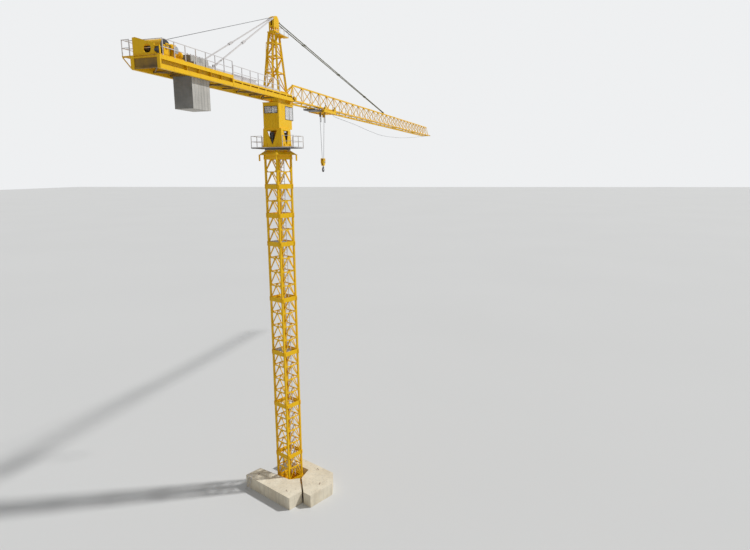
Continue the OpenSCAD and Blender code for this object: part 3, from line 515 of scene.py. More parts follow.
black_rubber = finish_of("black_rubber", rubber)
seals = []
for y in (glass_lo.y - 0.003, glass_hi.y + 0.003):
    seals += [slab((glass.x, 0.014, 0.018), (glass_mid.x, y, z), 0.003) for z in (glass_lo.z, glass_hi.z)]
    seals.append(slab((0.018, 0.014, glass.z), (glass_lo.x, y, glass_mid.z), 0.003))
seals += [slab((0.014, glass.y, 0.018), (glass_hi.x - 0.002, 0, z), 0.003) for z in (glass_lo.z, glass_hi.z)]
seals += [slab((0.016, rear_hi.y - rear_lo.y + 0.018, 0.018), (cab_lo.x - 0.002, 0, z), 0.003)
          for z in (rear_lo.z, rear_hi.z)]
seals += [slab((0.016, 0.020, rear_hi.z - rear_lo.z),
               (cab_lo.x - 0.002, y, (rear_lo.z + rear_hi.z) / 2), 0.003)
          for y in (rear_lo.y, -0.02, rear_hi.y)]
piece("window_seals", seals, black_rubber, "upper")

olive_paint = finish_of("olive_paint", crane_paint((0.085, 0.08, 0.035, 1), (0.15, 0.14, 0.07, 1),
                                                   (0.04, 0.035, 0.025, 1)))
paint_nodes(olive_paint, "jib_ties")
posts = [slab((0.030, 0.030, glass.z + 0.01), (glass_hi.x - 0.012, y, glass_mid.z), 0.004)
         for y in (glass_lo.y + 0.012, glass_hi.y - 0.012)]
posts += [slab((0.018, 0.022, glass.z), (glass_lo.x + 0.40, y, glass_mid.z), 0.003)
          for y in (glass_lo.y + 0.006, glass_hi.y - 0.006)]
piece("window_posts", posts, olive_paint, "upper")

skin = [slab((0.012, 0.034, rear_lo.z - cab_lo.z - 0.10),
             (cab_lo.x - 0.005, y, (cab_lo.z + rear_lo.z) / 2), 0.005)
        for y in (-0.26, -0.18, -0.06, 0.06, 0.18, 0.26)]
skin.append(slab((0.010, cab_hi.y * 2 - 0.02, 0.022), (cab_lo.x - 0.004, 0, cab_lo.z + 0.014), 0.003))
# Gutter round the roof, and a visor over the front window
gutter_z = cab_hi.z - 0.016
skin += [slab((cab_hi.x - cab_lo.x, 0.022, 0.028), ((cab_hi.x + cab_lo.x) / 2, y, gutter_z), 0.004)
         for y in (cab_lo.y - 0.006, cab_hi.y + 0.006)]
skin += [slab((0.022, cab_hi.y * 2 + 0.02, 0.028), (cab_lo.x - 0.006, 0, gutter_z), 0.004),
         slab((0.070, cab_hi.y * 2 + 0.02, 0.016), (cab_hi.x + 0.025, 0, cab_hi.z - 0.050), 0.004,
              (0, math.radians(14), 0))]
# Door leaf on the far side with its frame
door_x, door_w, door_h = -0.16, 0.50, 0.86
door_z = cab_lo.z + 0.06 + door_h / 2
skin.append(slab((door_w, 0.020, door_h), (door_x, cab_hi.y + 0.008, door_z), 0.006))
skin += [slab((0.022, 0.030, door_h + 0.06),
              (door_x + s * (door_w / 2 + 0.02), cab_hi.y + 0.012, door_z), 0.004) for s in both]
skin.append(slab((door_w + 0.08, 0.030, 0.022), (door_x, cab_hi.y + 0.012, cab_lo.z + 0.10 + door_h), 0.004))
piece("cab_skin", skin, yellow_paint, "upper")

# Door handle and hinges, then the wiper and its motor below the front window
grip_x, grip_y = door_x - 0.19, cab_hi.y + 0.045
hinge_x, hinge_y = door_x + door_w / 2 + 0.004, cab_hi.y + 0.03
fittings = [round_bar((grip_x, grip_y, cab_lo.z + 0.36), (grip_x, grip_y, cab_lo.z + 0.56), 0.008)]
fittings += [round_bar((grip_x, cab_hi.y + 0.012, z), (grip_x, cab_hi.y + 0.047, z), 0.007)
             for z in (cab_lo.z + 0.37, cab_lo.z + 0.55)]
fittings += [round_bar((hinge_x, hinge_y, z - 0.035), (hinge_x, hinge_y, z + 0.035), 0.011, 12, 0.002)
             for z in (cab_lo.z + 0.20, cab_lo.z + 0.50, cab_lo.z + 0.80)]
fittings += [slab((0.03, 0.07, 0.04), (glass_hi.x, -0.05, glass_lo.z - 0.03), 0.006),
             round_bar((glass_hi.x + 0.012, -0.05, glass_lo.z - 0.02),
                       (glass_hi.x + 0.014, 0.13, glass_lo.z + 0.30), 0.006),
             slab((0.010, 0.012, 0.30), (glass_hi.x + 0.008, 0.15, glass_lo.z + 0.30), 0.002,
                  (math.radians(-18), 0, 0))]
piece("cab_fittings", fittings, black_rubber, "upper")


# Cab windows: flat panes of clear glass with a slight tint and a film of dust, set in the
# rubber seals. A small pane sits in the door.
def pane(place):
    dust = place.noise(5.0, 4.0).between(0.4, 0.8)
    return {"Base Color": dust.coat((0.80, 0.82, 0.84, 1), (0.88, 0.84, 0.82, 1)),
            "Roughness": 0.05 + dust * 0.08, "Alpha": 0.38 + dust * 0.14, "IOR": 1.45}


cab_glass = finish_of("cab_glass", pane)
paint_nodes(cab_glass, "cab_glass_front", "cab_glass_rear")
piece("door_pane", [slab((0.34, 0.008, 0.34), (door_x, cab_hi.y + 0.016, cab_lo.z + 0.70), 0.002)],
      cab_glass, "upper")


# Inside the cab: an upholstered seat on a pedestal with two arm consoles, levers and a
# rubber floor mat.
def vinyl(place):
    grain = place.node("ShaderNodeTexVoronoi", {}, {"Vector": place, "Scale": 220.0})
    wear = place.noise(8.0, 4.0).between(0.45, 0.7)
    return {"Base Color": wear.coat((0.028, 0.029, 0.032, 1), (0.075, 0.075, 0.078, 1)),
            "Roughness": 0.48 + wear * 0.2, "Normal": (grain + wear * 0.2).bump(0.25, 0.001)}


seat_vinyl = finish_of("seat_vinyl", vinyl)
seat_x, seat_z = 0.16, cab_lo.z + 0.024


def cushion(size, at, turn=(0, 0, 0)):
    """A padded form: a block rounded by a bevel and two subdivisions."""
    made = slab(size, at, min(size) * 0.3, turn)
    crown = made.modifiers.new("padding", "SUBSURF")
    crown.levels = crown.render_levels = 2
    bpy.ops.object.modifier_apply(modifier="padding")
    return made


back_lean = (0, math.radians(-9), 0)
pads = [cushion((0.25, 0.26, 0.075), (seat_x, 0, seat_z + 0.285)),
        cushion((0.075, 0.25, 0.34), (seat_x - 0.145, 0, seat_z + 0.49), back_lean),
        cushion((0.055, 0.16, 0.10), (seat_x - 0.185, 0, seat_z + 0.70), back_lean)]
pads += [cushion((0.20, 0.055, 0.03), (seat_x, y, seat_z + 0.415)) for y in (-0.185, 0.185)]
seat = piece("driver_seat", pads, seat_vinyl, "upper", smooth=60)
stands = [round_bar((seat_x, 0, seat_z), (seat_x, 0, seat_z + 0.25), 0.045, 20, 0.004),
          slab((0.24, 0.24, 0.02), (seat_x, 0, seat_z + 0.012), 0.004),
          slab((0.95, 0.62, 0.008), (0.10, 0, seat_z + 0.004), 0.002)]
for y in (-0.185, 0.185):
    stands += [slab((0.24, 0.085, 0.10), (seat_x + 0.10, y, seat_z + 0.34), 0.012),
               slab((0.05, 0.05, 0.30), (seat_x + 0.04, y, seat_z + 0.16), 0.006),
               round_bar((seat_x + 0.16, y, seat_z + 0.38), (seat_x + 0.17, y, seat_z + 0.47), 0.007),
               round_bar((seat_x + 0.17, y, seat_z + 0.455), (seat_x + 0.174, y, seat_z + 0.50),
                         0.017, 12, 0.006)]
piece("seat_consoles", stands, black_rubber, "upper")


# Crown and jib foot: two heavy pins through the lugs, each with two collars and a split pin,
# and welded webs on the pedestal under the beams.
root_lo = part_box("jib_section_1")[0]
pin_x = root_lo.x - 0.05
chord_y, chord_z = 0.31, root_lo.z + 0.032
pins = []
for side in both:
    y = side * chord_y
    key_y = y + side * 0.067
    pins.append(round_bar((pin_x, y - 0.075, chord_z), (pin_x, y + 0.075, chord_z), 0.026, 20, 0.004))
    pins += [round_bar((pin_x, y + s * 0.047, chord_z), (pin_x, y + s * 0.057, chord_z), 0.040, 20, 0.002)
             for s in both]
    pins.append(round_bar((pin_x, key_y, chord_z - 0.035), (pin_x, key_y, chord_z + 0.035), 0.004, 6))
piece("jib_foot_pins", pins, yellow_paint, "upper")
web = gusset([(0, 0), (0.05, 0), (0.085, 0.118), (0, 0.118)], 0.010)
piece("crown_webs", copies(web, [moved(x, s * 0.36, cab_hi.z + 0.001) @ turned(90 * s)
                                 for x in (0.24, 0.40, 0.56) for s in both]),
      yellow_paint, "upper")


# Tower head: gusset plates on its legs, three guard bars over the pulley, and a service step
# with its brackets, grating and hand rail.
block_lo, block_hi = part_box("head_block")
front_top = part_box("walkway_deck")[0].z
head_x = 0.065


def leg_at(s, t, k):
    """Middle of a head leg at the share k of its height."""
    height = block_lo.z - front_top
    return Vector((s * (0.400 - 0.235 * k) + head_x * k, t * (0.335 - 0.195 * k), front_top + height * k))


plates = []
for k in (0.34, 0.60, 0.82):
    for s in both:
        for t in both:
            at = leg_at(s, t, k)
            plates += [slab((0.085, 0.006, 0.10), (at.x - s * 0.030, at.y + t * 0.038, at.z), 0.002),
                       slab((0.006, 0.085, 0.10), (at.x + s * 0.038, at.y - t * 0.030, at.z), 0.002)]
guard_r, axle_z = 0.19, block_lo.z + 0.43
for degrees in (40, 90, 150):
    x = head_x + guard_r * math.cos(math.radians(degrees))
    z = axle_z + guard_r * math.sin(math.radians(degrees))
    plates.append(round_bar((x, -0.045, z), (x, 0.045, z), 0.010, 10))
plates += [slab((0.05, 0.10, 0.05), (x, -0.205, block_lo.z - 0.16), 0.004) for x in (-0.118, 0.240)]
piece("head_gussets", plates, yellow_paint, "upper")
step = copies(grating(0.80, 0.21, 0.026, 0.014), [moved(0.23, -0.293, block_lo.z - 0.117)])
piece("head_step_grating", step, zinc, "upper")
rail_y, rail_z = -0.392, block_lo.z + 0.10
rail = [round_bar((x, rail_y, block_lo.z - 0.132), (x, rail_y, rail_z), 0.009)
        for x in (-0.165, 0.225, 0.625)]
rail.append(round_bar((-0.165, rail_y, rail_z), (0.625, rail_y, rail_z), 0.009))
piece("head_step_rail", rail, pale_paint, "upper")


# Counter-jib beams: flange plates and splice bolts at the joint of the two lengths, uprights
# along the rear one, and toe boards and gratings on the walkway.
beam_lo, beam_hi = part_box("counter_beam_near")
beam_z = (beam_lo.z + beam_hi.z) / 2
joint_x = beam_lo.x + 4.02
splice = []
nuts = []
for side in both:
    y = side * 0.452
    splice += [slab((0.040, 0.112, beam_hi.z - beam_lo.z + 0.02), (joint_x - 0.021, y, beam_z), 0.003),
               slab((0.040, 0.112, front_top - beam_lo.z + 0.02),
                    (joint_x + 0.021, y, (front_top + beam_lo.z) / 2), 0.003)]
    nuts += copies(bolt(0.014, 0.022), [moved(joint_x + s * 0.041, y, beam_lo.z + z) @ turned(90 * s, "Y")
                                        for z in (0.05, 0.128, 0.21) for s in both])
    # Welded uprights on the outside of the rear length
    splice += [slab((0.012, 0.094, beam_hi.z - beam_lo.z - 0.03), (beam_lo.x + x, y, beam_z), 0.002)
               for x in (0.03, 1.30, 1.96, 2.62, 3.28)]
piece("beam_splices", splice, yellow_paint, "upper")
piece("beam_bolts", nuts, zinc, "upper")
# A darker yellow than the mast's paint, for the end deck and the beam bracings.
darker_yellow_coat = crane_paint((0.80, 0.44, 0.004, 1), (0.84, 0.52, 0.018, 1), (0.30, 0.16, 0.015, 1))


def height_in(place):
    return place.node("ShaderNodeSeparateXYZ", {}, {"Vector": place}, 2)


def deck_paint(place):
    """Yellow on the deck by the winch and its brackets, pale grey on the railings over it."""
    steel = darker_yellow_coat(place)
    rails = pale_coat(place)
    over = height_in(place).between(beam_hi.z + 0.022, beam_hi.z + 0.026)
    steel["Base Color"] = over.coat(steel["Base Color"], rails["Base Color"])
    return steel


def shaded_web_paint(place):
    """Yellow paint with painted shade on the recessed web below the top flange of the beams, in dark brown
    blotches.
    """
    steel = darker_yellow_coat(place)
    # Here the grime noise is no dirt: it sets how dark the painted shade under the flange is, in blotches.
    grime = place.noise(2.2, 5.0, 0.6).between(0.3, 0.62, 0.62, 0.92)
    under_flange_shade = height_in(place).between(beam_hi.z - 0.072, beam_hi.z - 0.064, 1.0, 0.0)
    # Painted shade: below the top flange the colour goes to dark brown, standing in for the shade of the
    # recessed web.
    steel["Base Color"] = (grime * under_flange_shade).coat(steel["Base Color"], (0.085, 0.062, 0.040, 1))
    return steel


paint_nodes(finish_of("deck_paint", deck_paint), "end_deck")
# The beam bracings get the painted shade on their webs under the top flange.
paint_nodes(finish_of("shaded_web_paint", shaded_web_paint), "end_bracing", "walkway_bracing")
deck_lo, deck_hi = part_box("walkway_deck")
low_z = deck_lo.z + 0.018
walk = []
for length, x, top in ((joint_x - deck_lo.x - 0.04, (joint_x + deck_lo.x) / 2, deck_hi.z),
                       (0.50, joint_x + 0.30, low_z),
                       (deck_hi.x - joint_x - 2.35, (deck_hi.x + joint_x + 2.33) / 2, low_z)):
    walk += copies(grating(length, 0.89, 0.034, 0.012), [moved(x, 0, top + 0.0125)])
piece("walkway_grating", walk, zinc, "upper")
toes = []
for x0, x1, top in ((deck_lo.x, joint_x, deck_hi.z), (joint_x + 0.03, deck_hi.x, low_z)):
    toes += [slab((x1 - x0, 0.004, 0.075), ((x0 + x1) / 2, y, top + 0.02), 0.001) for y in (-0.470, 0.470)]
piece("toe_boards", toes, pale_paint, "upper")


# Counterweight: grey slabs of cast concrete, hung between the two beams, with two rusty
# lifting eyes on top of each.
weight_lo, weight_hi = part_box("counterweight")
slab_pitch = 0.165


def weight_cast(place):
    """Grey concrete: each slab has its own tone, the joints are dark and the rear face is darkened with
    painted shade.
    """
    sockets = concrete((0.60, 0.575, 0.53, 1), (0.42, 0.405, 0.37, 1), (0.22, 0.21, 0.19, 1))(place)
    along_x = place.node("ShaderNodeSeparateXYZ", {}, {"Vector": place})
    rear = along_x.between(weight_lo.x + 0.002, weight_lo.x + 0.006, 1.0, 0.0)
    number = (along_x - weight_lo.x) * (1 / slab_pitch)
    tone = number.node("ShaderNodeTexWhiteNoise", {"noise_dimensions": "1D"},
                       {"W": number.maths("FLOOR", number)})
    joint = number.maths("FRACT", number).between(0.90, 0.96)
    # Painted shade on the rear face, which is turned away from the sun: a blotchy dark grey.
    rear_face_shade = place.noise(3.0, 4.0, 0.6).between(0.35, 0.7).coat((0.15, 0.155, 0.15, 1), (0.24, 0.24, 0.23, 1))
    cast = (tone * 0.30).coat(sockets["Base Color"], (0.34, 0.33, 0.30, 1))
    cast = (joint * 0.85).coat(cast, (0.10, 0.10, 0.095, 1))
    # The rear face takes the painted shade.
    sockets["Base Color"] = (rear * 0.92).coat(cast, rear_face_shade)
    return sockets


paint_nodes(finish_of("weight_concrete", weight_cast), "counterweight")
eye = fuse([round_bar((0, 0, -0.01), (0, 0, 0.012), 0.022, 12, 0.003),
            bent_ring(0.024, 0.007, 18, at=(0, 0, 0.034))])
piece("weight_eyes", copies(eye, [moved(weight_lo.x + slab_pitch * (i + 0.5) - 0.002, y, weight_hi.z)
                                  for i in range(6) for y in (-0.19, 0.19)]), rust, "upper")


# Winch: rope wound in one layer on the drum, a sheet guard over it, a finned motor with a fan
# cowl, a ribbed gearbox with its bolts, and a disc brake.
drum_lo, drum_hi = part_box("hoist_drum")
drum_x, drum_z = (drum_lo.x + drum_hi.x) / 2, (drum_lo.z + drum_hi.z) / 2


def wire_lay(place):
    strands = place.node("ShaderNodeTexWave", {"bands_direction": "DIAGONAL"},
                         {"Vector": place, "Scale": 60.0, "Distortion": 0.4})
    return {"Base Color": strands.coat((0.06, 0.06, 0.065, 1), (0.20, 0.20, 0.205, 1)), "Metallic": 0.8,
            "Roughness": 0.42 + strands * 0.1, "Normal": strands.bump(0.4, 0.002)}


wire_rope = finish_of("wire_rope", wire_lay)
paint_nodes(wire_rope, "hoist_rope", "trolley_rope", "rope_falls")
piece("drum_rope", copies(bent_ring(0.158, 0.009, 36, 6), [moved(drum_x, -0.28 + 0.0185 * i, drum_z)
                                                           for i in range(31)]),
      wire_rope, "upper")

# Guard: a rolled sheet over the rear of the drum
bpy.ops.object.select_all(action="DESELECT")
bpy.ops.mesh.primitive_cylinder_add(vertices=48, radius=0.232, depth=0.60, location=(drum_x, 0, drum_z),
                                    rotation=(math.pi / 2, 0, 0), end_fill_type="NOTHING")
sheet = flatten(bpy.context.object)
mode("EDIT")
split((drum_x, 0, drum_z + 0.02), (0, 0, 1), clear_inner=True)
split((drum_x + 0.06, 0, drum_z), (1, 0, 0), clear_outer=True)
mode("OBJECT")
sheet.modifiers.new("wall", "SOLIDIFY").thickness = 0.005
bpy.ops.object.modifier_apply(modifier="wall")
covers = [sheet]
covers += [slab((0.022, 0.030, 0.34), (drum_x - 0.22, s * 0.285, drum_z - 0.12), 0.003) for s in both]
# Gearbox with its ribs, cover and brake, then the fins, cowl and terminal box of the motor
motor_lo, motor_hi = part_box("hoist_motor")
deck_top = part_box("hoist_frame")[0].z
gear_x, gear_y, brake_z = motor_lo.x + 0.13, -0.06, deck_top + 0.29
motor_x, motor_z = gear_x + 0.30, deck_top + 0.23
covers += [slab((0.012, 0.31, 0.36), (gear_x - 0.075 + 0.036 * i, gear_y, deck_top + 0.24), 0.002)
           for i in range(5)]
covers += [slab((0.24, 0.34, 0.018), (gear_x, gear_y, deck_top + 0.30), 0.003),
           round_bar((gear_x, -0.21, brake_z), (gear_x, -0.30, brake_z), 0.085, 24, 0.006),
           slab((0.13, 0.13, 0.20), (gear_x + 0.02, 0.185, deck_top + 0.17), 0.010)]
covers += copies(slab((0.25, 0.006, 0.022), (0, 0, 0.118), 0.001),
                 [moved(motor_x, gear_y, motor_z) @ turned(a, "X") for a in range(0, 360, 15)])
covers += [round_bar((motor_hi.x - 0.045, gear_y, motor_z), (motor_hi.x + 0.012, gear_y, motor_z),
                     0.118, 24, 0.010),
           slab((0.12, 0.09, 0.06), (motor_x, gear_y, motor_z + 0.145), 0.008)]
# Guard rails, bearing caps and a tall switch box behind the gearbox
covers += [slab((0.15, 0.22, 0.42), (drum_x + 0.36, 0.21, deck_top + 0.27), 0.008),
           slab((0.10, 0.16, 0.10), (drum_x + 0.36, 0.21, deck_top + 0.53), 0.006)]
for s in both:
    covers += [slab((0.30, 0.014, 0.03), (drum_x + 0.10, s * 0.352, drum_z + 0.09), 0.003),
               round_bar((drum_x, s * 0.345, drum_z), (drum_x, s * 0.375, drum_z), 0.065, 20, 0.006)]
# Fairlead bracket beside the plate at the end: a square frame round a dark guide roller, with a thin dark
# plate behind the roller as painted shade in the frame's opening
end_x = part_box("end_deck")[0].x + 0.055
covers += [slab((0.050, 0.022, 0.24), (end_x, y, deck_top + 0.120), 0.003) for y in (-0.305, -0.475)]
covers += [slab((0.050, 0.190, 0.022), (end_x, -0.390, deck_top + z), 0.003) for z in (0.011, 0.229)]
piece("winch_covers", covers, yellow_paint, "upper")
guide = [round_bar((end_x, -0.468, deck_top + 0.12), (end_x, -0.312, deck_top + 0.12), 0.045, 24, 0.006),
         # Painted shade: a thin dark plate fills the frame's opening behind the roller
         slab((0.008, 0.15, 0.20), (end_x + 0.020, -0.390, deck_top + 0.12), 0.001)]
piece("winch_guide", guide, dark_steel, "upper")
small = copies(bolt(0.010, 0.016), [
    moved(drum_x, s * 0.376, drum_z) @ turned(a, "Y") @ moved(0.048, 0, 0) @ turned(-90 * s, "X")
    for s in both for a in range(0, 360, 60)])
small += copies(bolt(0.010, 0.018), [moved(gear_x + i * 0.10, gear_y + j * 0.15, deck_top + 0.31)
                                     for i in (-1, 0, 1) for j in both])
small.append(round_bar((gear_x - 0.02, -0.30, brake_z), (gear_x - 0.02, -0.315, brake_z), 0.11, 28, 0.002))
piece("winch_bolts", small, zinc, "upper")


# Power cabinets: enamelled sheet boxes on plinths, with gasketed doors, louvres and latches on
# both long sides and a lid on each. The first box is a little taller than the others.
box_lo, box_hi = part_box("power_cabinets")
panels = []
trims = []
for x0, x1, lower in ((box_lo.x + 0.01, box_lo.x + 0.59, 0.0), (box_lo.x + 0.69, box_lo.x + 1.17, 0.004),
                      (box_lo.x + 1.18, box_hi.x - 0.01, 0.004)):
    box_x, box_l = (x0 + x1) / 2, x1 - x0
    for s in both:
        panels.append(slab((box_l - 0.02, 0.010, 0.185), (box_x, s * 0.164, box_lo.z + 0.125), 0.002))
        trims += [slab((0.14, 0.006, 0.006), (x1 - 0.13, s * 0.170, box_lo.z + 0.07 + 0.014 * i), 0.001)
                  for i in range(5)]
        trims.append(slab((0.014, 0.010, 0.05), (x0 + 0.04, s * 0.172, box_lo.z + 0.13), 0.002))
    panels.append(slab((box_l + 0.01, 0.35, 0.014), (box_x, 0, box_hi.z - lower), 0.003))
piece("cabinet_doors", panels, pale_paint, "upper")
piece("cabinet_louvres", trims, black_rubber, "upper")


# Tie bars: forged cheek plates beside their ends and joints, in the paint of the ties, with
# round galvanised pins through them.
def along(foot, top, share):
    return foot + (top - foot) * share


sideways = Vector((0, 1, 0))
weld = []
keys = []
for side in both:
    foot = Vector((weight_lo.x + 1.17, side * 0.44, deck_hi.z + 0.11))
    top = Vector((block_lo.x - 0.02, side * 0.06, block_lo.z + 0.48))
    ahead = (top - foot).normalized() * 0.10
    for share in (0.02, 0.43, 0.47, 0.985):
        at = along(foot, top, share)
        keys.append(round_bar(at - sideways * 0.052, at + sideways * 0.052, 0.016, 14, 0.003))
    for share in (0.02, 0.985):
        for s in both:
            at = along(foot, top, share) + sideways * s * 0.030
            weld.append(round_bar(at - ahead, at + ahead, 0.028, 4))
piece("counter_tie_plates", weld, pale_paint, "upper")
weld = []
tie_end = 16.25
for side in both:
    foot = Vector((tie_end, side * 0.028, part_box("jib_ties")[0].z + 0.03))
    top = Vector((block_hi.x + 0.02, side * 0.06, block_lo.z + 0.455))
    rise = math.asin((top - foot).normalized().z)
    for share in (0.003, 0.255, 0.54, 0.825, 0.996):
        at = along(foot, top, share)
        keys.append(round_bar(at - sideways * 0.036, at + sideways * 0.036, 0.012, 14, 0.002))
        weld.append(slab((0.18, 0.008, 0.036), at + sideways * side * 0.021, 0.002, (0, -rise, 0)))
piece("jib_tie_plates", weld, olive_paint, "upper")
piece("tie_pins", keys, zinc, "upper")


# Jib: pin joints between its lengths, gusset plates at the nodes of the lattice, a pulley at the
# tip, the winch for the trolley at the foot, and rubber end stops.
chord_half = 0.032
jib_h = 0.74
top_z = chord_z + jib_h
shapes = []
keys = []
for n in (2, 3, 4, 5):
    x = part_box("jib_section_%d" % n)[0].x
    for y, z, rise in ((-chord_y, chord_z, 0.004), (chord_y, chord_z, 0.004), (0, top_z, 0)):
        shapes += [slab((0.20, 0.010, 0.074), (x, y + s * (chord_half + 0.005), z + rise), 0.003)
                   for s in both]
        keys += [round_bar((x + d, y - 0.055, z), (x + d, y + 0.055, z), 0.014, 12, 0.002)
                 for d in (-0.055, 0.055)]
web_start, web_end, panel_count = 0.7, 30.5, 29
panel = (web_end - web_start) / panel_count
spots = [web_start + panel * i for i in range(1, panel_count)]
slope = math.degrees(math.atan2(chord_y, jib_h))
out = moved(0, 0.003, 0)
top_plate = gusset([(-0.09, 0.0), (-0.03, -0.075), (0.03, -0.075), (0.09, 0.0)], 0.006)
shapes += copies(top_plate, [moved(x, s * 0.031, top_z - 0.018) @ turned(s * slope, "X") @ out
                             for x in spots for s in both])
low_plate = gusset([(-0.10, 0.0), (0.10, 0.0), (0.03, 0.075), (-0.03, 0.075)], 0.006)
shapes += copies(low_plate, [moved(x + panel / 2, s * (chord_y - 0.010), chord_z + 0.026)
                             @ turned(s * slope, "X") @ out for x in spots for s in both])
piece("jib_gussets", shapes, yellow_paint, "upper")
piece("jib_pins", keys, zinc, "upper")


def grooved_wheel(radius, thick, groove, bore):
    """A pulley or wheel on the Y axis: a disc with its rim turned in to a rope groove."""
    bpy.ops.object.select_all(action="DESELECT")
    bpy.ops.mesh.primitive_cylinder_add(vertices=36, radius=radius, depth=thick,
                                        rotation=(math.pi / 2, 0, 0))
    made = flatten(bpy.context.object)
    mode("EDIT")
    for share in (0, -0.22, 0.22, -0.40, 0.40):
        split((0, thick * share, 0), (0, 1, 0))
    mode("OBJECT")
    for vertex in made.data.vertices:
        inward = 1 - min(1.0, abs(vertex.co.y) / (thick * 0.40))
        scale = 1 - groove / radius * inward ** 0.5 if abs(vertex.co.y) < thick * 0.41 else 1
        vertex.co.x *= scale
        vertex.co.z *= scale
    # A rim, a sunk web and a hub on both faces
    mode("EDIT")
    for side in both:
        bpy.ops.mesh.select_all(action="DESELECT")
        mode("OBJECT")
        for face in made.data.polygons:
            face.select = face.normal.y * side > 0.9 and face.area > radius * radius
        mode("EDIT")
        bpy.ops.mesh.select_mode(type="FACE")
        for ring, sink in ((0.22, 0), (0.04, -0.22), (0.38, 0), (0.04, 0.24)):
            bpy.ops.mesh.inset(thickness=radius * ring, depth=thick * sink)
    bpy.ops.mesh.select_all(action="SELECT")
    bpy.ops.mesh.normals_make_consistent(inside=False)
    mode("OBJECT")
    return fuse([made, round_bar((0, -thick * 0.62, 0), (0, thick * 0.62, 0), bore, 16, bore * 0.12)])


tip_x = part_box("jib_section_5")[1].x
steel = copies(grooved_wheel(0.085, 0.034, 0.012, 0.016), [moved(tip_x - 0.10, 0, chord_z + 0.085)])
steel += [slab((0.10, 0.012, 0.14), (tip_x - 0.10, s * 0.028, chord_z + 0.075), 0.003) for s in both]
# Trolley winch at the jib foot: drum, cheeks, motor and frame
reel_x, reel_z = 1.50, chord_z + 0.13
steel.append(round_bar((reel_x, -0.15, reel_z), (reel_x, 0.15, reel_z), 0.075, 24, 0.004))
steel += [round_bar((reel_x, s * 0.15, reel_z), (reel_x, s * 0.165, reel_z), 0.115, 28, 0.003) for s in both]
piece("jib_pulley", steel, dark_steel, "upper")
case = [slab((0.06, 0.60, 0.05), (reel_x + d, 0, chord_z + 0.028), 0.004) for d in (-0.14, 0.14)]
case += [slab((0.20, 0.016, 0.20), (reel_x, s * 0.195, chord_z + 0.10), 0.004) for s in both]
case += [round_bar((reel_x + 0.02, 0.20, reel_z), (reel_x + 0.02, 0.275, reel_z), 0.07, 20, 0.006),
         slab((0.16, 0.05, 0.14), (reel_x, -0.235, chord_z + 0.12), 0.006)]
piece("trolley_winch", case, yellow_paint, "upper")
stops = [slab((0.05, 0.040, 0.075), (x, s * (chord_y + 0.060), chord_z + 0.018), 0.008)
         for x in (1.12, tip_x - 0.06) for s in both]
piece("trolley_stops", stops, black_rubber, "upper")


# Trolley: grooved pulleys for the rope falls between the frame's bars, wheel discs with axle
# nuts, plates and posts on the frame, and the grating and rails of the service basket.
frame_lo, frame_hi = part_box("trolley_frame")
wheel_lo, wheel_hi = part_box("trolley_wheels")
rope_lo, rope_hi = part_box("rope_falls")
car_x = (frame_lo.x + frame_hi.x) / 2
wheel_z = (wheel_lo.z + wheel_hi.z) / 2
hook_x = (rope_lo.x + rope_hi.x) / 2
bed_z = rope_hi.z
pulley_z = bed_z - 0.085
pulley_x = [hook_x + s * 0.212 for s in both]
corners = [(car_x + s * 0.62, t) for s in both for t in both]
wheels = copies(grooved_wheel(0.088, 0.034, 0.012, 0.016), [moved(x, 0, pulley_z) for x in pulley_x])
wheels += copies(round_bar((0, -0.006, 0), (0, 0.006, 0), 0.046, 28, 0.003),
                 [moved(x, t * (chord_y + 0.041), wheel_z) for x, t in corners])
wheels += copies(bolt(0.020, 0.03), [moved(x, t * 0.424, wheel_z) @ turned(-90 * t, "X")
                                     for x, t in corners])
piece("trolley_pulleys", wheels, dark_steel, "trolley")
trim = [slab((0.20, 0.010, 0.05), (x, t * 0.414, frame_hi.z - 0.06), 0.004) for x, t in corners]
trim += [slab((0.03, 0.03, 0.10), (car_x + s * 0.78, t * 0.405, bed_z + 0.06), 0.004)
         for s in both for t in both]
for x in pulley_x:
    trim += [slab((0.13, 0.010, 0.21), (x, t * 0.030, pulley_z), 0.004) for t in both]
    trim.append(slab((0.15, 0.070, 0.012), (x, 0, bed_z + 0.008), 0.002))
# Diagonal ties of the trolley frame
trim += [round_bar((car_x + x0, s * 0.37, bed_z + 0.03), (car_x + x1, s * 0.09, bed_z + 0.03), 0.014, 4)
         for x0, x1 in ((-0.74, -0.52), (-0.36, 0.12), (0.22, 0.74)) for s in both]
piece("trolley_trim", trim, yellow_paint, "trolley")
# Upright guide plates at the wheels, and sleeves over the two hangers on the near side
guards = [slab((0.12, 0.008, 0.12), (x, t * 0.418, frame_hi.z + 0.01), 0.003) for x, t in corners]
guards += [round_bar((x, -chord_y, frame_lo.z + 0.002), (x, -chord_y, bed_z + 0.01), 0.017, 14, 0.003)
           for x in (4.240, 4.770)]
piece("trolley_guards", guards, dark_steel, "trolley")
cage_x, cage_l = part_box("trolley_basket")[0].x + 0.01, 0.84
mesh = copies(grating(cage_l, 0.58, 0.03, 0.012), [moved(cage_x + cage_l / 2, -0.03, bed_z + 0.0285)])
low, high = bed_z + 0.06, bed_z + 0.145
mesh += [round_bar((cage_x + cage_l * i / 4, y, low), (cage_x + cage_l * i / 4, y, high), 0.007, 6)
         for i in range(5) for y in (-0.32, 0.26)]
mesh += [round_bar((cage_x, y, high), (cage_x + cage_l, y, high), 0.008, 6) for y in (-0.32, 0.26)]
piece("basket_mesh", mesh, dark_steel, "trolley")


# Slack line: a slack length of wire rope that hangs below the jib from the front end of the
# trolley to the tip. It is made in eight runs that meet end to end.
def smooth_path(points, steps):
    """Points on a smooth curve from the second given point to the last but one."""
    run = []
    for a, b, c, d in zip(points, points[1:], points[2:], points[3:]):
        for t in [i / steps for i in range(steps)]:
            run.append(0.5 * (2 * b + (c - a) * t + (2 * a - 5 * b + 4 * c - d) * t * t
                              + (3 * b - 3 * c + d - a) * t ** 3))
    return run + [points[-2]]


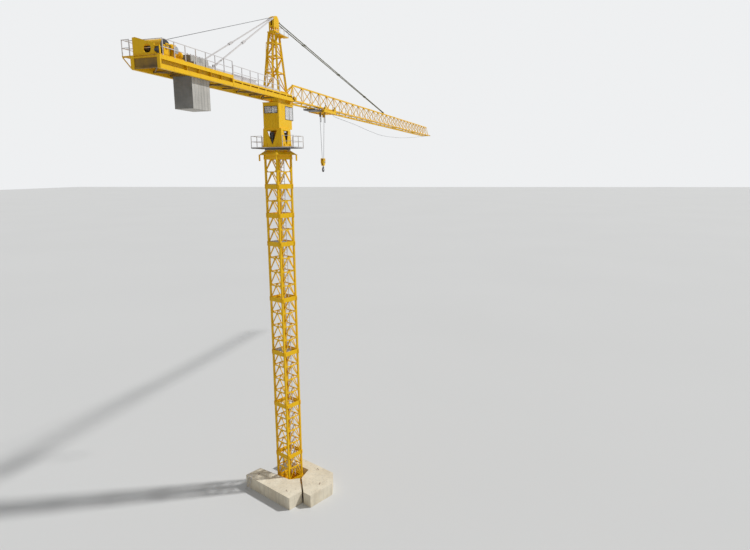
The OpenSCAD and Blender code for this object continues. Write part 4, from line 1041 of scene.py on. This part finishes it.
def swept(run, radii, fineness):
    """A round form along the points of the run, with a radius for each."""
    bpy.ops.object.select_all(action="DESELECT")
    bpy.ops.curve.primitive_nurbs_path_add()
    line = bpy.context.object.data
    line.splines.clear()
    spline = line.splines.new("POLY")
    spline.points.add(len(run) - 1)
    for point, at, radius in zip(spline.points, run, radii):
        point.co = (*at, 1)
        point.radius = radius
    line.dimensions = "3D"
    line.bevel_depth = 1.0
    line.bevel_resolution = fineness
    line.use_fill_caps = True
    bpy.ops.object.convert(target="MESH")
    return flatten(bpy.context.object)


line_y, line_z = -0.31, 17.2
sag = [Vector(p) for p in ((5.93, line_y, bed_z + 0.01), (6.25, line_y, 17.47), (9.52, -0.27, 17.31),
                           (13.44, -0.22, 17.06), (16.37, -0.18, 17.0), (21.0, -0.12, 17.12),
                           (26.0, -0.06, 17.42), (tip_x - 0.15, -0.02, chord_z - 0.02))]
slack = smooth_path([sag[0] * 2 - sag[1], *sag, sag[-1] * 2 - sag[-2]], 12)
line_x0, line_x1 = slack[0].x, slack[-1].x


def eased(share):
    """Where a smooth turn from 0 to 1 has reached the share, found by halving."""
    low, high = 0.0, 1.0
    for _ in range(40):
        t = (low + high) / 2
        low, high = (t, high) if t * t * (3 - 2 * t) < share else (low, t)
    return (low + high) / 2


def nearest(x):
    return min(range(len(slack)), key=lambda i: abs(slack[i].x - x))


cuts = [nearest(line_x0 + share * (line_x1 - line_x0))
        for share in (0.0, 0.02, 0.08, 0.2, 0.5, 0.8, 0.92, 0.98, 1.0)]
for number, (i, j) in enumerate(zip(cuts, cuts[1:]), 1):
    run = slack[i:j + 1]
    length = finished(swept(run, [0.008] * len(run), 1), "slack_line_%d" % number, wire_rope, 60)
    # The share of the travel at each end of the run, and the reach and first point of a blend beyond its
    # ends; nothing uses them
    t0, t1 = [eased((end.x - line_x0) / (line_x1 - line_x0)) for end in (run[0], run[-1])]
    reach = (run[-1].x - run[0].x) / (t1 - t0)
    first = run[0].x - t0 * reach
    first + reach
    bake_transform(length)


# Rope falls: two lengths of wire rope from the trolley pulleys to the hook block.
falls = fuse([round_bar((hook_x + s * 0.10, 0, rope_lo.z), (hook_x + s * 0.29, 0, rope_hi.z), 0.009, 10)
              for s in both])
mode("EDIT")
for i in range(1, 24):
    split((0, 0, rope_lo.z + (rope_hi.z - rope_lo.z) * i / 24), (0, 0, 1))
mode("OBJECT")
finished(falls, "hoist_rope_falls", wire_rope, 50)
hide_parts("rope_falls")
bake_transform(falls)


# Hook block and hook: bolts, axle caps and welded ribs on the cheeks of the block, and a forged
# hook of dark steel with a threaded neck, a nut and a spring latch.
cheek_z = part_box("hook_block")[0].z
parts = copies(bolt(0.014, 0.02), [
    moved(hook_x + i * 0.095, s * 0.075, cheek_z + z) @ turned(-90 * s, "X")
    for i in both for z in (0.15, 0.33) for s in both])
parts += [round_bar((hook_x, s * 0.074, cheek_z + 0.21), (hook_x, s * 0.094, cheek_z + 0.21),
                    0.038, 20, 0.004) for s in both]
piece("hook_block_bolts", parts, zinc, "hook")
ribs = []
for s in both:
    ribs += [slab((0.016, 0.012, 0.19), (hook_x + d, s * 0.080, cheek_z + 0.24), 0.003)
             for d in (0.105, -0.105)]
    ribs.append(slab((0.20, 0.012, 0.016), (hook_x, s * 0.080, cheek_z + 0.355), 0.003))
piece("hook_block_ribs", ribs, yellow_paint, "hook")

# The hook from its neck to its point: x and z from the middle of the bow, then the radius
stations = [Vector(p) for p in (
    (0.0, 0.300, 0.026), (0.0, 0.190, 0.027), (0.006, 0.145, 0.030), (-0.045, 0.100, 0.034),
    (-0.088, 0.040, 0.038), (-0.090, -0.025, 0.041), (-0.052, -0.078, 0.042), (0.0, -0.090, 0.039),
    (0.055, -0.072, 0.034), (0.090, -0.025, 0.028), (0.102, 0.020, 0.019), (0.112, 0.050, 0.009))]
bow = smooth_path([stations[0], *stations, stations[-1]], 5)
middle = Vector((hook_x, 0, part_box("hook")[0].z + 0.13))
forged = swept([middle + Vector((p.x, 0, p.y)) for p in bow], [p.z for p in bow], 4)
for vertex in forged.data.vertices:
    vertex.co.y *= 0.78
neck = [forged, round_bar(middle + Vector((0, 0, 0.205)), middle + Vector((0, 0, 0.240)), 0.048, 6, 0.005)]
neck += copies(round_bar((0, 0, -0.002), (0, 0, 0.002), 0.0295, 16),
               [Matrix.Translation(middle + Vector((0, 0, 0.245 + 0.007 * i))) for i in range(5)])
# Spring latch across the throat
neck += [slab((0.010, 0.030, 0.135), middle + Vector((0.068, 0, 0.082)), 0.003, (0, math.radians(28), 0)),
         round_bar(middle + Vector((0.030, -0.032, 0.138)), middle + Vector((0.030, 0.032, 0.138)),
                   0.008, 10)]
shank = piece("forged_hook", neck, dark_steel, "hook", smooth=50)
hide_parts("hook")


# Studio: a pale matt floor, an even sky that the camera sees as a light grey, and one soft sun
# from the right, behind the camera.
bpy.ops.object.select_all(action="DESELECT")
bpy.ops.mesh.primitive_plane_add(size=900, location=(0, 0, -0.002))
floor = bpy.context.object
floor.name = "studio_floor"
bpy.ops.object.transform_apply(location=True)


def floor_paint(place):
    return {"Base Color": place.noise(0.05, 2.0).coat((0.64, 0.64, 0.63, 1), (0.61, 0.61, 0.60, 1)),
            "Roughness": 0.9}


floor.data.materials.append(finish_of("floor_paint", floor_paint))
sky = bpy.data.worlds.new("studio_sky")
bpy.context.scene.world = sky
sky.use_nodes = True
sky.node_tree.nodes.clear()
start = Tone(sky.node_tree, None)
seen = start.node("ShaderNodeLightPath", {}, {}, "Is Camera Ray")
for ray in ("Is Glossy Ray", "Is Transmission Ray"):
    seen = seen.maths("MAXIMUM", seen, start.node("ShaderNodeLightPath", {}, {}, ray))
dome = seen.node("ShaderNodeBackground", {}, {"Color": (0.95, 0.97, 1.0, 1), "Strength": 0.36})
backdrop = seen.node("ShaderNodeBackground", {}, {"Color": (0.86, 0.87, 0.88, 1), "Strength": 1.0})
mixed = seen.node("ShaderNodeMixShader", {}, {0: seen, 1: dome, 2: backdrop})
seen.node("ShaderNodeOutputWorld", {}, {"Surface": mixed})
sunbeam = Vector((-0.30, 0.60, -0.74))
bpy.ops.object.light_add(type="SUN", rotation=sunbeam.to_track_quat("-Z", "Y").to_euler())
bpy.context.object.data.energy = 2.7
bpy.context.object.data.angle = math.radians(4)

# Camera: placed and aimed by a fit to measured points of the photo, 750 px wide, with a focal
# length of 572.4 px
bpy.ops.object.camera_add(location=(-22.957, -11.442, 14.741))
camera = bpy.context.object
camera.data.sensor_width = 36
camera.data.lens = 36 * 572.4 / 750
camera.data.clip_end = 2000
yaw, pitch, roll = math.radians(17.169), math.radians(-10.450), math.radians(-0.515)
ahead = Vector((math.cos(pitch) * math.cos(yaw), math.cos(pitch) * math.sin(yaw), math.sin(pitch)))
camera.rotation_euler = (ahead.to_track_quat("-Z", "Y") @ Quaternion((0, 0, 1), roll)).to_euler()
bpy.context.scene.camera = camera
bpy.context.scene.view_settings.view_transform = "Standard"
